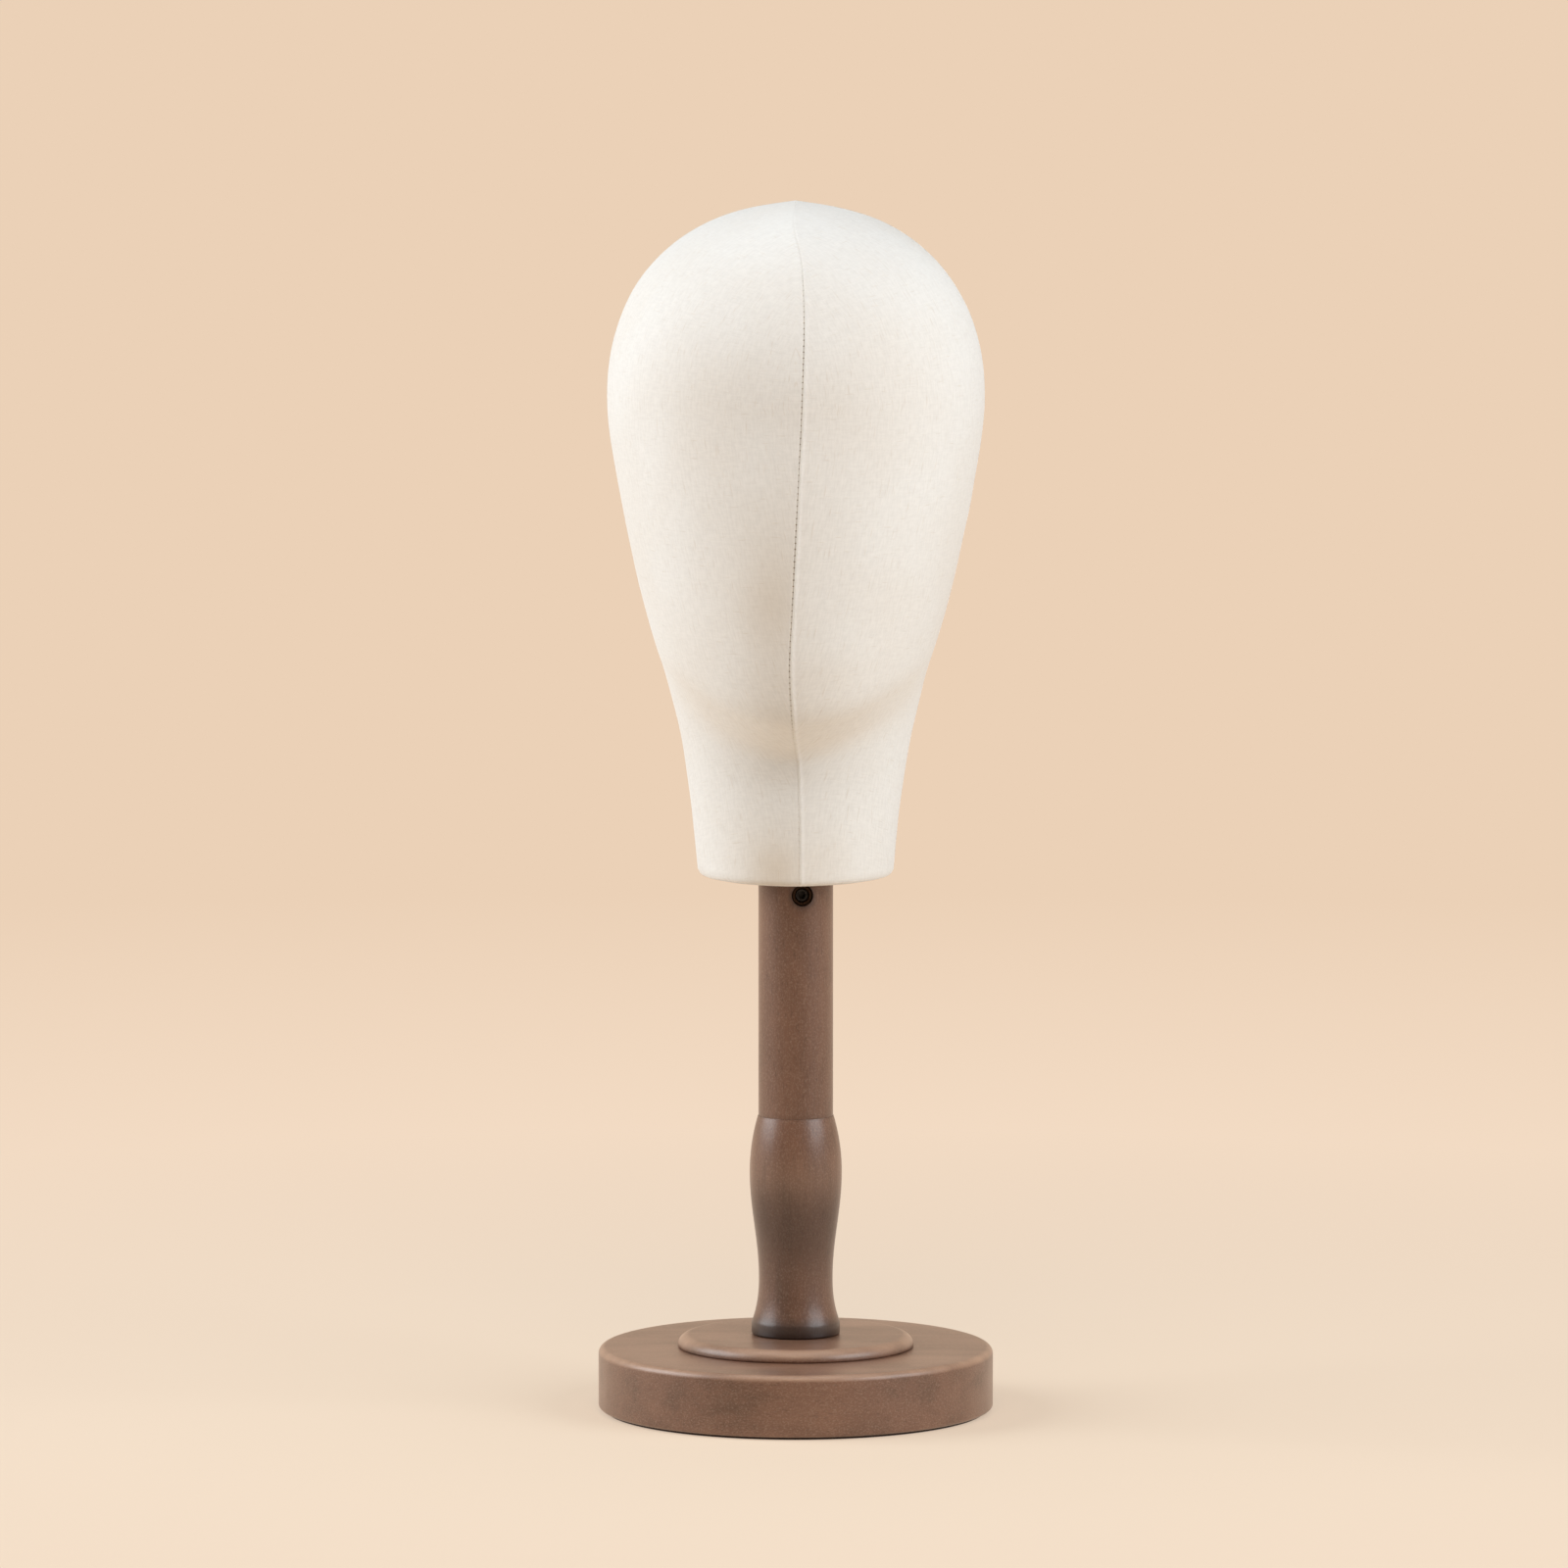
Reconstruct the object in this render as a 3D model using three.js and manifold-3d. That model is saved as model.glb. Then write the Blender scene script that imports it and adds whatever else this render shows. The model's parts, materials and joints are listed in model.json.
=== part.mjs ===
// A faceless mannequin head covered in linen, on a turned wooden stand.
// Millimetres, +Z up, the face looks along -Y. The origin is the middle of the stand's underside.
import * as THREE from "three";
import { mergeVertices } from "three/addons/utils/BufferGeometryUtils.js";
import Module from "manifold-3d";

const { degToRad, lerp } = THREE.MathUtils;

// Clearances
const REST_GAP = 0.3; // between the lowered head and the top of the post
const LAYER_GAP = 0.2; // between the layers of the head, and between pressed or glued pieces
const RUN_GAP = 0.2; // round the rod and the lock screw, which move

// Base: felt, base disc and step disc, from the floor up
const FELT_THICKNESS = 1.2;
const FELT_INSET = 3; // from the edge of the base
const BASE_RADIUS = 84;
const BASE_THICKNESS = 26.2;
const BASE_TOP_ROUND = 2.5;
const BASE_BOTTOM_ROUND = 1.5;
const STEP_RADIUS = 50.2;
const STEP_THICKNESS = 5.2;

// Post, with heights above its own foot
const POST_LENGTH = 196;
const POST_RADIUS = 15.85;
const SHOULDER_HEIGHT = 93.8; // the crisp line where the straight shaft meets the vase
const SHOULDER_RADIUS = 16.1;
const VASE_HEIGHT = 69.8;
const VASE_RADIUS = 19.6;
const WAIST_HEIGHT = 24.2;
const WAIST_RADIUS = 15.7;
const FOOT_BAND = 5.2;
const FOOT_RADIUS = 18.8;
const FLARE_POWER = 2.3; // how late the waist opens into the foot
const FOOT_CHAMFER = 0.8;

// Rod, its sleeve in the post, and the screw that locks it
const ROD_RADIUS = 6;
const ROD_IN_POST = 115;
const ROD_CHAMFER = 1;
const BORE_SPARE = 3; // bore below the end of the rod
const SLEEVE_WALL = 1.3;
const SLEEVE_LENGTH = 60;
const LOCK_BELOW_TOP = 6.7;
const LOCK_TURN = 10.6; // degrees round the post from the front, towards +X
const LOCK_SCREW_RADIUS = 2.8;
const LOCK_SCREW_LENGTH = 7.6;
const LOCK_SOCKET_ACROSS = 3; // across the flats of its hexagon socket
const LOCK_SOCKET_DEPTH = 3;
const LOCK_INSERT_WALL = 1.4;
const LOCK_INSERT_SUNK = 1.2; // below the surface of the post

// Bolt that holds the post, step and base together
const BOLT_RADIUS = 4;
const BOLT_LENGTH = 40;
const BOLT_HEAD_ACROSS = 13;
const BOLT_HEAD_HEIGHT = 5.3;
const BOLT_HOLE_GAP = 0.4;
const WASHER_RADIUS = 9;
const WASHER_THICKNESS = 1.6;
const RECESS_DEPTH = 8.5; // in the base, for the washer and the bolt's head
const RECESS_GAP = 2; // round the washer
const FOOT_INSERT_WALL = 2;
const FOOT_INSERT_LENGTH = 20;

// Head, with heights above the underside of the neck
const HEAD_HEIGHT = 283.2; // of the crown beside the seam
const BROW_HEIGHT = 202.8; // level of the widest ring
const HEAD_HALF_WIDTH = 79.8;
const FACE_REACH = 92.2; // in front of the post's axis, beside the seam
const OCCIPUT_REACH = 97.9; // behind the post's axis, beside the seam
const NECK_HALF_WIDTH = 41;
const NECK_FRONT = 46.8;
const NECK_BACK = 49;
const CROWN_BACK = 7; // how far the top of the crown lies behind the post's axis
const CROWN_POWER = 2.3; // 2 is a true ellipse, less is more pointed, more is squarer
const TEMPLE_POWER = 2.13;
const FACE_POWER = 2;
const NAPE_POWER = 2.15;
const KEEL_WIDTH = 17; // how quickly the low keel along the seams dies away to the sides
const HEM_ROUND = 2.4;
const HEM_WIDTH = 12;
const CLOTH_THICKNESS = 0.8;
const PADDING_THICKNESS = 2.5;
const SHELL_WALL = 4;
const SEAM_GAP = 0.3;

// Fittings in the neck
const NECK_CLOTH_INSET = 5;
const NECK_CLOTH_THICKNESS = 0.6;
const BOARD_THICKNESS = 12;
const ROD_HOLE_GAP = 0.8;
const FLANGE_RADIUS = 27;
const FLANGE_THICKNESS = 3;
const HUB_WALL = 4;
const HUB_HEIGHT = 14;
const HUB_CAP = 3; // closes the hub over the end of the rod
const FLANGE_SCREWS = 4;
const FLANGE_SCREW_CIRCLE = 19.5;
const FLANGE_SCREW_RADIUS = 1.9;
const FLANGE_SCREW_HEAD = 4;
const FLANGE_SCREW_LENGTH = 12;
const BOARD_NAILS = 4;
const NAIL_RADIUS = 0.9;
const NAIL_HEAD_RADIUS = 2.1;
const NAIL_HEAD_THICKNESS = 0.8;
const NAIL_LENGTH = 16;
const NAIL_SUNK = 0.7; // its head below the surface of the shell
const NAIL_TURN = 45; // degrees round the neck from the front to the first nail

// Facets and steps
const OVERRUN = 1; // how far a cutting or joining shape runs past the face it meets
const SLOPE_STEP = 1e-3; // between the two points that a slope is taken from
const BASE_SIDES = 56;
const STEP_SIDES = 40;
const POST_SIDES = 28;
const SMALL_SIDES = 18;
const SCREW_SIDES = 8;
const HEAD_SIDES = 28;
const DOME_RINGS = 8;
const DOME_CROWDING = 1.3; // 1 spaces the rings evenly, more crowds them towards the crown
const RINGS_PER_LINE = 2;
const HEM_STEPS = 2;
const ROUND_STEPS = 3;
const FLARE_STEPS = 5;
const SWELL_STEPS = 7;
const TAPER_STEPS = 5;

// Lines of the head from the brow down. At is the level of the line's sides as a share of the brow's
// height. Front, back and half say how far the line has grown from the neck's outline to the head's.
// Drop is how far the line sinks from its sides to the chin, and lift how far it climbs to the nape.
const LINES = [
  { at: 1, front: 0.949, back: 1, half: 1, drop: 0, lift: 0 },
  { at: 0.815, front: 1, back: 0.888, half: 0.872, drop: 6, lift: 4 },
  { at: 0.634, front: 0.969, back: 0.657, half: 0.674, drop: 15, lift: 7 },
  { at: 0.544, front: 0.897, back: 0.51, half: 0.549, drop: 21, lift: 9 },
  { at: 0.482, front: 0.743, back: 0.392, half: 0.452, drop: 23, lift: 9 },
  { at: 0.443, front: 0.456, back: 0.318, half: 0.389, drop: 23, lift: 9 },
  { at: 0.393, front: 0.179, back: 0.216, half: 0.32, drop: 20, lift: 8 },
  { at: 0.296, front: 0.035, back: 0.088, half: 0.199, drop: 12, lift: 5 },
  { at: 0.162, front: 0, back: 0.016, half: 0.088, drop: 4, lift: 2 },
  { at: 0, front: 0, back: 0, half: 0, drop: 0, lift: 0 },
];

// Seam, against height as a share of the head's: how far the front one wanders to the right of the
// middle, and how far both stand out from the cloth beside them, in mm
const SEAM = [
  { at: 0, side: 1.2, rise: 2.6 },
  { at: 0.2, side: 0.3, rise: 2.4 },
  { at: 0.31, side: -2.6, rise: 3.2 },
  { at: 0.45, side: -0.7, rise: 3.5 },
  { at: 0.72, side: 3.2, rise: 2.1 },
  { at: 0.9, side: 2.6, rise: 1.1 },
  { at: 1, side: 0, rise: 2.4 },
];

const wasm = await Module();
wasm.setup();

const linen = new THREE.MeshStandardMaterial({ color: "#ebe3d8", roughness: 0.95 });
const wadding = new THREE.MeshStandardMaterial({ color: "#e9e6dc", roughness: 1 });
const pulp = new THREE.MeshStandardMaterial({ color: "#9a8468", roughness: 0.9 });
const stainedWood = new THREE.MeshStandardMaterial({ color: "#7b5a45", roughness: 0.45 });
const plainWood = new THREE.MeshStandardMaterial({ color: "#c9a878", roughness: 0.7 });
const steel = new THREE.MeshStandardMaterial({ color: "#a9acb0", roughness: 0.35, metalness: 1 });
const darkSteel = new THREE.MeshStandardMaterial({ color: "#35312e", roughness: 0.4, metalness: 1 });
const brass = new THREE.MeshStandardMaterial({ color: "#b08d4a", roughness: 0.4, metalness: 1 });
const felt = new THREE.MeshStandardMaterial({ color: "#2e221c", roughness: 1 });

// The solid of a closed geometry
function solidOf(geometry) {
  const bare = geometry.clone();
  bare.deleteAttribute("normal");
  bare.deleteAttribute("uv");
  const merged = mergeVertices(bare, 1e-4);
  const corners = merged.index.array;
  const triVerts = [];
  for (let i = 0; i < corners.length; i += 3) {
    const [a, b, c] = corners.slice(i, i + 3);
    if (a !== b && b !== c && c !== a) triVerts.push(a, b, c);
  }
  const vertProperties = merged.attributes.position.array;
  const mesh = new wasm.Mesh({ numProp: 3, vertProperties, triVerts: new Uint32Array(triVerts) });
  return new wasm.Manifold(mesh);
}

function geometryOf(solid) {
  const mesh = solid.getMesh();
  const geometry = new THREE.BufferGeometry();
  geometry.setAttribute("position", new THREE.BufferAttribute(new Float32Array(mesh.vertProperties), 3));
  geometry.setIndex(new THREE.BufferAttribute(new Uint32Array(mesh.triVerts), 1));
  return faceted(geometry);
}

// Flat faces with their own normals
function faceted(geometry) {
  const loose = geometry.index ? geometry.toNonIndexed() : geometry;
  loose.computeVertexNormals();
  return loose;
}

function cut(geometry, ...tools) {
  return geometryOf(tools.reduce((solid, tool) => solid.subtract(solidOf(tool)), solidOf(geometry)));
}

function join(geometry, ...others) {
  return geometryOf(others.reduce((solid, other) => solid.add(solidOf(other)), solidOf(geometry)));
}

// A turned piece: its outline is a list of [radius, height], turned round +Z
function turned(outline, sides) {
  const points = outline.map(([radius, height]) => new THREE.Vector2(radius, height));
  return new THREE.LatheGeometry(points, sides).rotateX(Math.PI / 2);
}

// A turned piece with a hole through it: the outline closes on itself
function turnedRing(outline, sides) {
  return turned([...outline, outline[0]], sides);
}

function cylinder(radius, low, high, sides) {
  return turned([[0, low], [radius, low], [radius, high], [0, high]], sides);
}

function tube(inner, outer, low, high, sides) {
  return turnedRing([[inner, low], [outer, low], [outer, high], [inner, high]], sides);
}

// Points of a quarter round from one angle to another, in degrees, about a centre
function roundPoints([radius, height], round, from, to) {
  return Array.from({ length: ROUND_STEPS + 1 }, (_, i) => {
    const angle = degToRad(from + ((to - from) * i) / ROUND_STEPS);
    return [radius + round * Math.cos(angle), height + round * Math.sin(angle)];
  });
}

// Points from one height to another along a formula for the radius, both ends included
function curvePoints(from, to, steps, radiusAt) {
  return Array.from({ length: steps + 1 }, (_, i) => {
    const share = i / steps;
    return [radiusAt(share), lerp(from, to, share)];
  });
}

function hexagon(across, low, high) {
  const corner = across / 2 / Math.cos(Math.PI / 6);
  return cylinder(corner, low, high, 6);
}

function piece(name, geometry, material) {
  const made = new THREE.Mesh(geometry, material);
  made.name = name;
  return made;
}

// Turns a piece built along +Z so that it points outwards from the axis, at a height
function pointOutwards(mesh, degrees, height) {
  mesh.rotation.set(Math.PI / 2, 0, degToRad(degrees), "ZYX");
  mesh.position.z = height;
  return mesh;
}

function outwardGeometry(geometry, degrees, height) {
  return geometry.rotateX(Math.PI / 2).rotateZ(degToRad(degrees)).translate(0, 0, height);
}

// Levels and fits that several pieces share
const BASE_TOP = FELT_THICKNESS + BASE_THICKNESS;
const POST_FOOT = BASE_TOP + STEP_THICKNESS;
const POST_TOP = POST_FOOT + POST_LENGTH;
const BOLT_HOLE_RADIUS = BOLT_RADIUS + BOLT_HOLE_GAP;
const RECESS_TOP = FELT_THICKNESS + RECESS_DEPTH;
const SLEEVE_INNER = ROD_RADIUS + RUN_GAP;
const SLEEVE_OUTER = SLEEVE_INNER + SLEEVE_WALL;
const SLEEVE_BORE = SLEEVE_OUTER + LAYER_GAP;
const ROD_BORE = ROD_RADIUS + ROD_HOLE_GAP;
const LOCK_HEIGHT = POST_LENGTH - LOCK_BELOW_TOP;
const LOCK_THREAD = LOCK_SCREW_RADIUS + RUN_GAP;
const LOCK_INSERT_RADIUS = LOCK_THREAD + LOCK_INSERT_WALL;
const LOCK_INSERT_HOLE = LOCK_INSERT_RADIUS + LAYER_GAP;
const FOOT_THREAD = BOLT_RADIUS + LAYER_GAP;
const FOOT_INSERT_RADIUS = FOOT_THREAD + FOOT_INSERT_WALL;

function feltPad() {
  const radius = BASE_RADIUS - FELT_INSET;
  return piece("felt_pad", cylinder(radius, 0, FELT_THICKNESS, BASE_SIDES), felt);
}

function baseDisc() {
  const recess = WASHER_RADIUS + RECESS_GAP;
  const topCentre = [BASE_RADIUS - BASE_TOP_ROUND, BASE_TOP - BASE_TOP_ROUND];
  const bottomCentre = [BASE_RADIUS - BASE_BOTTOM_ROUND, FELT_THICKNESS + BASE_BOTTOM_ROUND];
  const outline = [
    [recess, RECESS_TOP],
    [recess, FELT_THICKNESS],
    ...roundPoints(bottomCentre, BASE_BOTTOM_ROUND, -90, 0),
    ...roundPoints(topCentre, BASE_TOP_ROUND, 0, 90),
    [BOLT_HOLE_RADIUS, BASE_TOP],
    [BOLT_HOLE_RADIUS, RECESS_TOP],
  ];
  return piece("base_disc", turnedRing(outline, BASE_SIDES), stainedWood);
}

// The step's edge is a half round
function stepDisc() {
  const round = STEP_THICKNESS / 2;
  const centre = [STEP_RADIUS - round, BASE_TOP + round];
  const outline = [
    [BOLT_HOLE_RADIUS, BASE_TOP],
    ...roundPoints(centre, round, -90, 0),
    ...roundPoints(centre, round, 0, 90).slice(1),
    [BOLT_HOLE_RADIUS, POST_FOOT],
  ];
  return piece("step_disc", turnedRing(outline, STEP_SIDES), stainedWood);
}

// Radius of the post's outside from its foot to the shoulder, by stretches
const FLARE = (share) => lerp(WAIST_RADIUS, FOOT_RADIUS, (1 - share) ** FLARE_POWER);
const SWELL = (share) => lerp(WAIST_RADIUS, VASE_RADIUS, (1 - Math.cos(Math.PI * share)) / 2);
const TAPER = (share) => lerp(VASE_RADIUS, SHOULDER_RADIUS, share ** 2);

function post() {
  const outside = [
    [FOOT_RADIUS - FOOT_CHAMFER, 0],
    [FOOT_RADIUS, FOOT_CHAMFER],
    ...curvePoints(FOOT_BAND, WAIST_HEIGHT, FLARE_STEPS, FLARE),
    ...curvePoints(WAIST_HEIGHT, VASE_HEIGHT, SWELL_STEPS, SWELL).slice(1),
    ...curvePoints(VASE_HEIGHT, SHOULDER_HEIGHT, TAPER_STEPS, TAPER).slice(1),
    [POST_RADIUS, SHOULDER_HEIGHT],
    [POST_RADIUS, POST_LENGTH],
  ];
  const bore = [
    [SLEEVE_BORE, POST_LENGTH],
    [SLEEVE_BORE, POST_LENGTH - SLEEVE_LENGTH - LAYER_GAP],
    [ROD_BORE, POST_LENGTH - SLEEVE_LENGTH - LAYER_GAP],
    [ROD_BORE, POST_LENGTH - ROD_IN_POST - BORE_SPARE],
    [0, POST_LENGTH - ROD_IN_POST - BORE_SPARE],
  ];
  const insertHole = FOOT_INSERT_RADIUS + LAYER_GAP;
  const socket = [
    [0, FOOT_INSERT_LENGTH + 2 * LAYER_GAP],
    [insertHole, FOOT_INSERT_LENGTH + 2 * LAYER_GAP],
    [insertHole, 0],
  ];
  const blank = turned([...socket, ...outside, ...bore], POST_SIDES);
  const lockHole = cylinder(LOCK_INSERT_HOLE, 0, POST_RADIUS + OVERRUN, SMALL_SIDES);
  const made = piece("post", cut(blank, outwardGeometry(lockHole, LOCK_TURN, LOCK_HEIGHT)), stainedWood);
  made.position.z = POST_FOOT;
  return made;
}

function guideSleeve() {
  const blank = tube(SLEEVE_INNER, SLEEVE_OUTER, POST_LENGTH - SLEEVE_LENGTH, POST_LENGTH, POST_SIDES);
  const thread = cylinder(LOCK_THREAD, 0, SLEEVE_OUTER + OVERRUN, SMALL_SIDES);
  const geometry = cut(blank, outwardGeometry(thread, LOCK_TURN, LOCK_HEIGHT));
  const made = piece("guide_sleeve", geometry, brass);
  made.position.z = POST_FOOT;
  return made;
}

function lockInsert() {
  const geometry = tube(
    LOCK_THREAD,
    LOCK_INSERT_RADIUS,
    SLEEVE_OUTER + LAYER_GAP,
    POST_RADIUS - LOCK_INSERT_SUNK,
    SMALL_SIDES,
  );
  return pointOutwards(piece("lock_insert", geometry, darkSteel), LOCK_TURN, POST_FOOT + LOCK_HEIGHT);
}

function lockScrew() {
  const tip = ROD_RADIUS + RUN_GAP;
  const end = tip + LOCK_SCREW_LENGTH;
  const point = LOCK_SCREW_RADIUS / 2;
  const outline = [
    [0, tip],
    [point, tip],
    [LOCK_SCREW_RADIUS, tip + point],
    [LOCK_SCREW_RADIUS, end],
    [0, end],
  ];
  const socket = hexagon(LOCK_SOCKET_ACROSS, end - LOCK_SOCKET_DEPTH, end + OVERRUN);
  const made = piece("lock_screw", cut(turned(outline, SMALL_SIDES), socket), darkSteel);
  return pointOutwards(made, LOCK_TURN, POST_FOOT + LOCK_HEIGHT);
}

function footInsert() {
  const low = POST_FOOT + LAYER_GAP;
  const geometry = tube(FOOT_THREAD, FOOT_INSERT_RADIUS, low, low + FOOT_INSERT_LENGTH, SMALL_SIDES);
  return piece("foot_insert", geometry, brass);
}

function baseWasher() {
  const low = RECESS_TOP - WASHER_THICKNESS;
  return piece("base_washer", tube(BOLT_HOLE_RADIUS, WASHER_RADIUS, low, RECESS_TOP, SMALL_SIDES), steel);
}

function baseBolt() {
  const seat = RECESS_TOP - WASHER_THICKNESS;
  const shank = cylinder(BOLT_RADIUS, seat - OVERRUN, seat + BOLT_LENGTH, SMALL_SIDES);
  const head = hexagon(BOLT_HEAD_ACROSS, seat - BOLT_HEAD_HEIGHT, seat);
  return piece("base_bolt", join(head, shank), steel);
}

// Levels in the neck, above the underside of the neck cloth
const HEM_BOTTOM = NECK_CLOTH_THICKNESS;
const EDGE_LEVEL = HEM_BOTTOM + HEM_ROUND;
const FORM_BOTTOM = HEM_BOTTOM + CLOTH_THICKNESS + LAYER_GAP;
const BOARD_TOP = FORM_BOTTOM + BOARD_THICKNESS;
const FLANGE_TOP = BOARD_TOP + FLANGE_THICKNESS;
const HUB_TOP = FLANGE_TOP + HUB_HEIGHT;
const PADDING_DEPTH = CLOTH_THICKNESS + LAYER_GAP;
const SHELL_DEPTH = PADDING_DEPTH + PADDING_THICKNESS + LAYER_GAP;
const CAVITY_DEPTH = SHELL_DEPTH + SHELL_WALL;

// A smooth curve through rows of numbers at rising places, level at its start
function smooth(places, rows) {
  const width = rows[0].length;
  const curve = new THREE.CubicInterpolant(places, rows.flat(), width);
  curve.settings = { endingStart: THREE.ZeroSlopeEnding, endingEnd: THREE.ZeroCurvatureEnding };
  return (place) => Array.from(curve.evaluate(place));
}

const linesAt = smooth(
  LINES.map(({ at }) => 1 - at),
  LINES.map(({ front, back, half, drop, lift }) => [front, back, half, drop, lift]),
);
const seamAtShare = smooth(
  SEAM.map(({ at }) => at),
  SEAM.map(({ side, rise }) => [side, rise]),
);

// The ring of the head at u: 0 is the crown, 1 the brow and 2 the underside of the neck
function ringAt(u) {
  if (u > 1) {
    const [front, back, half, drop, lift] = linesAt(u - 1);
    return {
      level: BROW_HEIGHT * (2 - u),
      front: lerp(NECK_FRONT, FACE_REACH, front),
      back: lerp(NECK_BACK, OCCIPUT_REACH, back),
      half: lerp(NECK_HALF_WIDTH, HEAD_HALF_WIDTH, half),
      drop,
      lift,
    };
  }
  const browFront = lerp(NECK_FRONT, FACE_REACH, LINES[0].front);
  const angle = (u * Math.PI) / 2;
  const grow = Math.sin(angle) ** (2 / CROWN_POWER);
  const rise = Math.max(Math.cos(angle), 0) ** (2 / TEMPLE_POWER);
  return {
    level: lerp(BROW_HEIGHT, HEAD_HEIGHT, rise),
    front: lerp(-CROWN_BACK, browFront, grow),
    back: lerp(CROWN_BACK, OCCIPUT_REACH, grow),
    half: HEAD_HALF_WIDTH * grow,
    drop: 0,
    lift: 0,
  };
}

// A point of the head's surface: turn is 0 at the front, half pi at the right and pi at the back
function headPoint(u, turn) {
  const { level, front, back, half, drop, lift } = ringAt(u);
  const middle = (back - front) / 2;
  const reach = (back + front) / 2;
  const [along, across] = [-Math.cos(turn), Math.sin(turn)];
  const facing = along < 0;
  const power = facing ? FACE_POWER : NAPE_POWER;
  const x = half * Math.sign(across) * Math.abs(across) ** (2 / power);
  const y = middle + reach * Math.sign(along) * Math.abs(along) ** (2 / power);
  return new THREE.Vector3(x, y, level + along ** 2 * (facing ? -drop : lift));
}

// Where a ring crosses the front seam, and how far the seam stands out there
function seamAt(u) {
  const { level, drop } = ringAt(u);
  const [side, rise] = seamAtShare((level - drop) / HEAD_HEIGHT);
  return { side, rise };
}

// How far the cloth stands out at a point, towards the seam in front or behind
function keelAt(u, turn, point) {
  const { side, rise } = seamAt(u);
  const seam = Math.cos(turn) > 0 ? side : 0;
  return rise * Math.exp(-Math.abs(point.x - seam) / KEEL_WIDTH);
}

// A point at a depth under the cloth's surface
function layerPoint(u, turn, depth) {
  const point = headPoint(u, turn);
  const out = keelAt(u, turn, point) - depth;
  if (u === 0) return point.setZ(point.z + out);
  const down = headPoint(Math.min(u + SLOPE_STEP, 2), turn).sub(headPoint(u - SLOPE_STEP, turn));
  const across = headPoint(u, turn + SLOPE_STEP).sub(headPoint(u, turn - SLOPE_STEP));
  return point.addScaledVector(down.cross(across).normalize(), out);
}

// Turns of the points round a ring, from the front seam to the back one. Side is 1 for right, -1 for left
function halfTurns(u, side) {
  const front = Math.asin(seamAt(u).side / ringAt(u).half);
  return Array.from({ length: HEAD_SIDES / 2 + 1 }, (_, i) => {
    return lerp(front, side * Math.PI, (2 * i) / HEAD_SIDES);
  });
}

function fullTurns(u) {
  const right = halfTurns(u, 1);
  const left = halfTurns(u, -1).slice(1, -1).reverse();
  return [...right, ...left];
}

// Places of the rings from just under the crown to the neck, for a layer that ends at a level
function ringPlaces(endLevel, step) {
  const dome = Array.from({ length: DOME_RINGS }, (_, i) => ((i + 1) / DOME_RINGS) ** DOME_CROWDING);
  const stops = [...LINES.slice(0, -1).map(({ at }) => at), endLevel / BROW_HEIGHT];
  const lower = Array.from({ length: (stops.length - 1) * RINGS_PER_LINE }, (_, i) => {
    const place = (i + 1) / RINGS_PER_LINE;
    const line = Math.ceil(place);
    return 2 - lerp(stops[line - 1], stops[line], place - line + 1);
  });
  return [...dome, ...lower].filter((_, i) => (i + 1) % step === 0);
}

// Rings of one surface of a layer
function surfaceRings(places, turnsAt, depth) {
  return places.map((u) => turnsAt(u).map((turn) => layerPoint(u, turn, depth)));
}

// The neck's rim drawn in by an inset and set at a level
function rimRing(turnsAt, inset, level) {
  return turnsAt(2).map((turn) => {
    const point = headPoint(2, turn);
    const along = headPoint(2, turn + SLOPE_STEP).sub(headPoint(2, turn - SLOPE_STEP));
    const inwards = new THREE.Vector3(-along.y, along.x, 0).normalize();
    return point.addScaledVector(inwards, inset - keelAt(2, turn, point)).setZ(level);
  });
}

// Joins two surfaces, each a pole and its rings from the top down, into one closed wall. The second half
// of a ring that goes all round is split into triangles as the mirror image of its first half
function wallGeometry(outer, inner, closed) {
  const corners = [];
  const triangle = (a, b, c) => corners.push(...a.toArray(), ...b.toArray(), ...c.toArray());
  const quad = (a, b, c, d) => {
    triangle(a, b, c);
    triangle(a, c, d);
  };
  const spans = (ring) => (closed ? ring.length : ring.length - 1);
  const surface = ({ pole, rings }, face) => {
    const next = (ring, i) => ring[(i + 1) % ring.length];
    for (let i = 0; i < spans(rings[0]); i += 1) face([pole, rings[0][i], next(rings[0], i)]);
    for (let row = 1; row < rings.length; row += 1) {
      const [above, below] = [rings[row - 1], rings[row]];
      for (let i = 0; i < spans(above); i += 1) {
        const mirrored = closed && i >= above.length / 2;
        const [a, b, c, d] = [above[i], below[i], next(below, i), next(above, i)];
        face(mirrored ? [a, b, d] : [a, b, c]);
        face(mirrored ? [b, c, d] : [a, c, d]);
      }
    }
  };
  surface(outer, ([a, b, c]) => triangle(a, b, c));
  surface(inner, ([a, b, c]) => triangle(a, c, b));
  const edge = ({ pole, rings }) => {
    const last = rings[rings.length - 1];
    if (closed) return [...last, last[0]];
    const front = rings.map((ring) => ring[0]);
    const back = rings.map((ring) => ring[ring.length - 1]).reverse();
    return [pole, ...front, ...last.slice(1, -1), ...back, pole];
  };
  const [rim, innerRim] = [edge(outer), edge(inner)];
  for (let i = 0; i + 1 < rim.length; i += 1) quad(rim[i], innerRim[i], innerRim[i + 1], rim[i + 1]);
  const positions = new THREE.Float32BufferAttribute(corners, 3);
  return new THREE.BufferGeometry().setAttribute("position", positions);
}

// A closed geometry whose faces point out, whichever way round its rings were taken
function facingOut(geometry) {
  const merged = mergeVertices(geometry, 1e-4);
  const points = merged.attributes.position;
  const index = merged.index.array;
  const at = (i) => new THREE.Vector3().fromBufferAttribute(points, index[i]);
  let volume = 0;
  for (let i = 0; i < index.length; i += 3) volume += at(i).dot(at(i + 1).cross(at(i + 2)));
  if (volume < 0) merged.setIndex(Array.from(index).reverse());
  return faceted(merged);
}

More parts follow.
